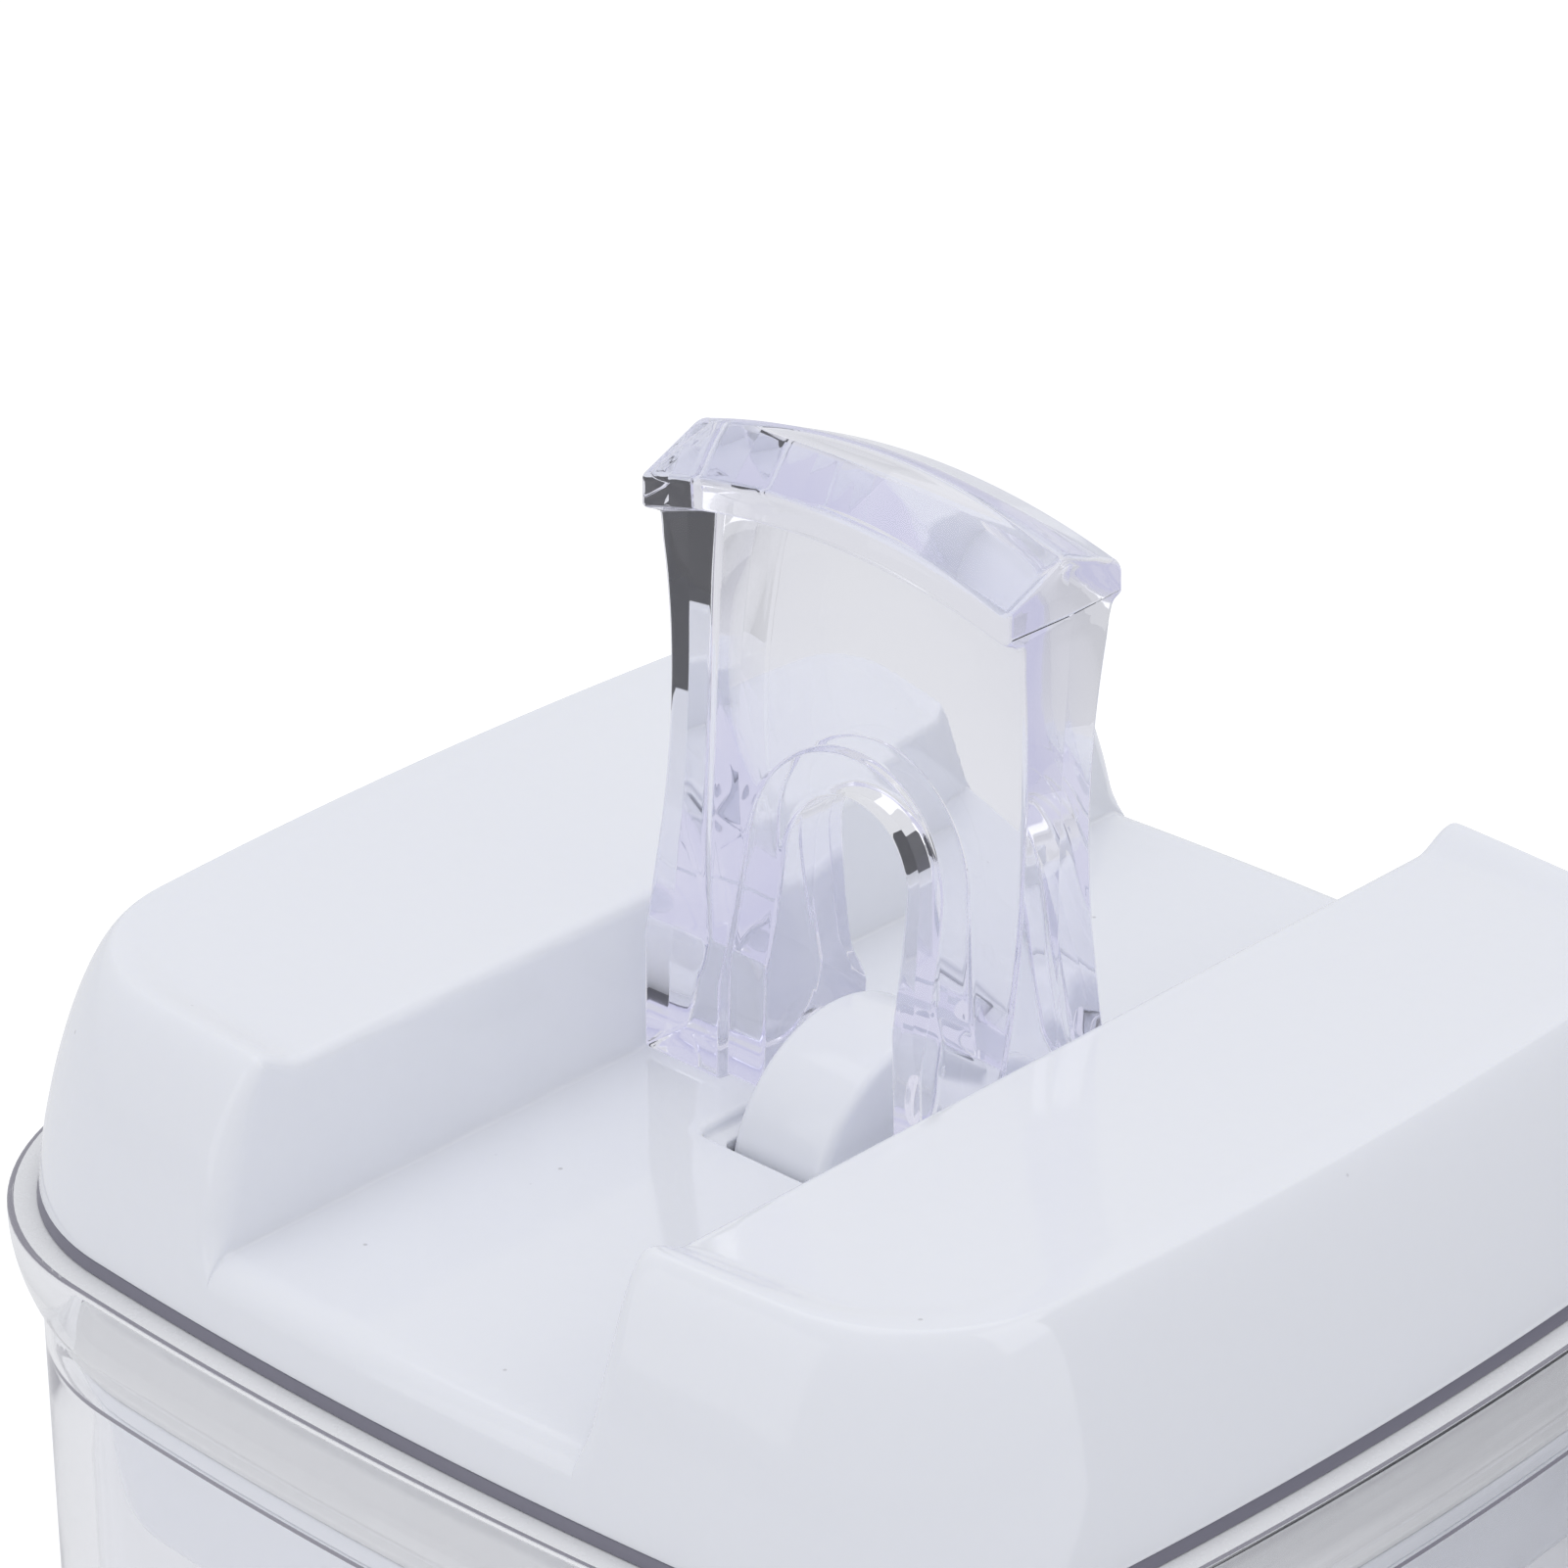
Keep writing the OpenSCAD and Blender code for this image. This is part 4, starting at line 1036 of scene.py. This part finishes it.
LEGS = len(front_leg)
SIDES = LEGS + len(side_z)
off_slot = np.concatenate([
    [LEVER_EDGE, 0.6, 0.9], np.arange(1.3, 3.2, 0.4), np.linspace(BORDER_W - 0.2, BORDER_W + 0.2, 13), [4.0, 4.3]
])
off_share = np.linspace(0, 1, 31)[1:]


def strip(leg, waist_z, facing, foot_share):
    """One face of the legs and arch: stations from the foot's middle up the leg and round the arch, and rows from the
    slot out to the side or to the line under the bar. The face is turned by its facing along Y, and the border runs
    out towards the foot by foot_share."""
    start = np.concatenate([points(slot_half(leg[:, 1]), leg[:, 1]), np.array([0, ARCH_Z]) + ARCH_HALF * ray])
    way = np.concatenate([np.tile([1.0, 0.0], (LEGS, 1)), ray])
    reach = np.concatenate([side_half(leg[:, 1]) - LEVER_EDGE - slot_half(leg[:, 1]), ray_length - ARCH_HALF])
    off = np.hstack([
        np.tile(off_slot, (len(start), 1)), off_slot[-1] + (reach - off_slot[-1])[:, None] * off_share
    ])
    x = start[:, :1] + way[:, :1] * off
    z = start[:, 1:] + way[:, 1:] * off
    depth = face_depth(z, waist_z)
    depth[:LEGS] = leg[:, :1]
    change = with_border(hollow_change(x, z, waist_z), off)
    change[:LEGS] *= foot_share[:, None]
    return points(x, facing * (depth + change), z), way


def bar_half(waist_z, radii):
    """One half of the bar's outline, from the line under the bar up the hollow face, out over the chamfer, up the bar's
    edge and in to the ridge, past which the last four points of the path are dropped."""
    heights = np.linspace(BAR_LOW - BAR_CHAMFER, BAR_LOW, 400)
    chamfer = WAIST_THICK + (LEVER_THICK - WAIST_THICK) * (heights - heights[0]) / BAR_CHAMFER
    meet = heights[np.argmin(np.abs(chamfer - face_hollow(heights, waist_z)))]
    ends = face_hollow(np.array([JOIN_Z, meet]), waist_z)
    path = rounded_path(
        [(ends[0], JOIN_Z), (ends[1], meet), (LEVER_THICK, BAR_LOW), (LEVER_THICK, BAR_HIGH),
         (0, BAR_HIGH + BAR_CROWN), (-LEVER_THICK, BAR_HIGH)], radii, counts=(16, 4, 5, 16, 1),
    )[:-4]
    hollow = face_hollow(path[:, 1], waist_z) - np.interp(path[:, 1], (JOIN_Z, meet), ends)
    path[:, 0] += np.where(path[:, 1] < meet, hollow, 0)
    return path


def bar_face(path, facing):
    """One face of the bar: its half outline carried from the right side to the middle, arched by BAR_ARCH. The hollow
    under it deepens towards the middle as on the legs, and the chamfer grows to meet it."""
    x = (side_half(path[:, 1]) - side_edge(path[:, 1]))[:, None] * join_share
    arch_r = (LEVER_HALF**2 + BAR_ARCH**2) / (2 * BAR_ARCH)
    ramp = smooth(np.clip((path[:, 1:] - JOIN_Z) / ARCH_RAMP, 0, 1))
    z = path[:, 1:] + (BAR_ARCH - arch_r + np.sqrt(arch_r**2 - x**2)) * ramp
    in_share = np.clip((LEVER_THICK - path[:, :1]) / (LEVER_THICK - path[:1, :1]), 0, 1)
    hollow = np.where(path[:, 1:] < BAR_LOW, np.minimum(HOLLOW_END * in_share, 1), 0)
    hollow = hollow * hollow_depth(x, path[:, 1:])
    return points(x, facing * (path[:, :1] - hollow), z)


def rolled(edge, out_way, in_way, radius):
    """A face's edge carried round a quarter circle of a radius, from the face's inward way to a wall's outward way."""
    quarter = np.linspace(0, np.pi / 2, 7)[None, :, None]
    radius = np.broadcast_to(radius, len(edge))[:, None, None]
    return edge[:, None] + radius * (out_way[:, None] * np.sin(quarter) + in_way[:, None] * (1 - np.cos(quarter)))


def wall(front, back, out_way, ridge):
    """A wall between matching rolled edges of the front and the back, which rises to a sharp ridge, the mould's parting
    line, half way between them."""
    share = np.concatenate([np.linspace(0, 0.49, 7)[1:], [0.5], np.linspace(0.51, 1, 7)[:-1]])[None, :, None]
    flat = front[:, -1:] * (1 - share) + back[:, -1:] * share
    return np.concatenate([front, flat + ridge * (1 - np.abs(2 * share - 1)) * out_way[:, None], back[:, ::-1]], axis=1)


def face_inward(edge, facing):
    """Inward way of a face along its edge, across the edge in Y and Z: straight up at the foot's middle."""
    along = unit(np.gradient(edge[:, 1:], axis=0))
    way = points(0.0, -facing * along[:, 1], facing * along[:, 0])
    way[0] = (0, 0, 1)
    return way


front_share = np.clip((front_leg[:, 0] + FOOT_MIDDLE_Y) / (LEVER_THICK + FOOT_MIDDLE_Y - FOOT_EDGE), 0, 1)
front_share[front_leg[:, 1] > foot_z + FOOT_EDGE] = 1
back_share = smooth(np.clip((back_leg[:, 1] - cam[-1, 1]) / SHIN_FADE, 0, 1))
strips, bars, sides, slots = [], [], [], []
for leg, waist_z, facing, foot_share, bar_radii, sole_top in (
    (front_leg, FRONT_WAIST_Z, -1, front_share, FRONT_BAR_R, FOOT_TOP),
    (back_leg, BACK_WAIST_Z, 1, back_share, BACK_BAR_R, cam[-1, 1]),
):
    face, strip_way = strip(leg, waist_z, facing, foot_share)
    outline = bar_half(waist_z, bar_radii)
    bar = bar_face(outline, facing)
    side_line, slot_line = np.concatenate([face[:SIDES, -1], bar[1:, 0]]), face[:, 0]
    in_side, in_slot = face_inward(side_line, facing), face_inward(slot_line, facing)
    in_side[-1] = (0, 0, -1)
    in_slot[slot_line[:, 2] > sole_top] = (0, -facing, 0)
    side_way = np.tile([1.0, 0.0, 0.0], (len(side_line), 1))
    slot_way = points(-strip_way[:, 0], 0.0, -strip_way[:, 1])
    side_r = side_edge(np.concatenate([face[:SIDES, -1, 2], outline[1:, 1]]))
    strips.append(face)
    bars.append(bar)
    sides.append(rolled(side_line, side_way, in_side, side_r))
    slots.append(rolled(slot_line, slot_way, in_slot, LEVER_EDGE))

peg_turn = np.linspace(0, 2 * np.pi, 41)
peg_in, peg_out = LUG_HALF + PEG_GAP, slot_half(PIVOT_H) - PEG_LAP
peg_x = np.array([peg_in, peg_in, LUG_HALF + PEG_STEP, slot_half(PIVOT_H) - PEG_STEP, peg_out, peg_out])[:, None]
peg_r = np.array([0, PEG_R - PEG_EDGE, PEG_R, PEG_R, PEG_R, 0])[:, None]
peg = points(peg_x, peg_r * np.cos(peg_turn), PIVOT_H + peg_r * np.sin(peg_turn))

clear_lever, lever_tree, lever_surface = plastic(
    "clear_lever_plastic", (0.975, 0.975, 0.988, 1.0), (0.965, 0.965, 0.982, 1.0), (0.008, 0.02), 0.00002,
    inner_light=(0.78, 0.78, 0.86, 1.0), IOR=1.52, Transmission_Weight=1.0,
)[:3]
depth_tint = add_node(lever_tree, "VolumeAbsorption", Color=(0.8, 0.8, 0.92, 1.0), Density=30.0)
turned_middle = add_node(lever_tree, "Mapping", Location=(0.0, 0.0, -(FLOOR_Z + TURNED_Z) * MM))
turning = add_node(
    lever_tree, "TexWave", wave_type="RINGS", rings_direction="Y", Scale=520.0, Distortion=1.2, Detail=1.0
)
turned = add_node(lever_tree, "Bump", Strength=1.0, Distance=0.0000003)
from_middle = add_node(lever_tree, "VectorMath", operation="LENGTH")
turned_reach = add_node(lever_tree, "MapRange", From_Min=0.009, From_Max=0.0125, To_Min=1.0, To_Max=0.0)
turned_height = add_node(lever_tree, "Math", operation="MULTIPLY")
lever_relief = lever_surface.inputs["Normal"].links[0].from_node
placed(lever_tree, turned_middle)
wire(
    (depth_tint, 0, lever_tree.nodes["Material Output"], "Volume"),
    (turned_middle, "Vector", turning, "Vector"),
    (turned_middle, "Vector", from_middle, 0), (from_middle, "Value", turned_reach, "Value"),
    (turning, "Fac", turned_height, 0), (turned_reach, 0, turned_height, 1), (turned_height, 0, turned, "Height"),
    (turned, "Normal", lever_relief, "Normal"),
)

right_half = [*strips, *bars, wall(*sides, side_way, SIDE_RIDGE), wall(*slots, slot_way, SLOT_RIDGE), peg]
make_piece(
    "lever_clear", [patch + to_lid for patch in right_half] + [patch * mirror + to_lid for patch in right_half],
    clear_lever, "lever", ["lever"],
)
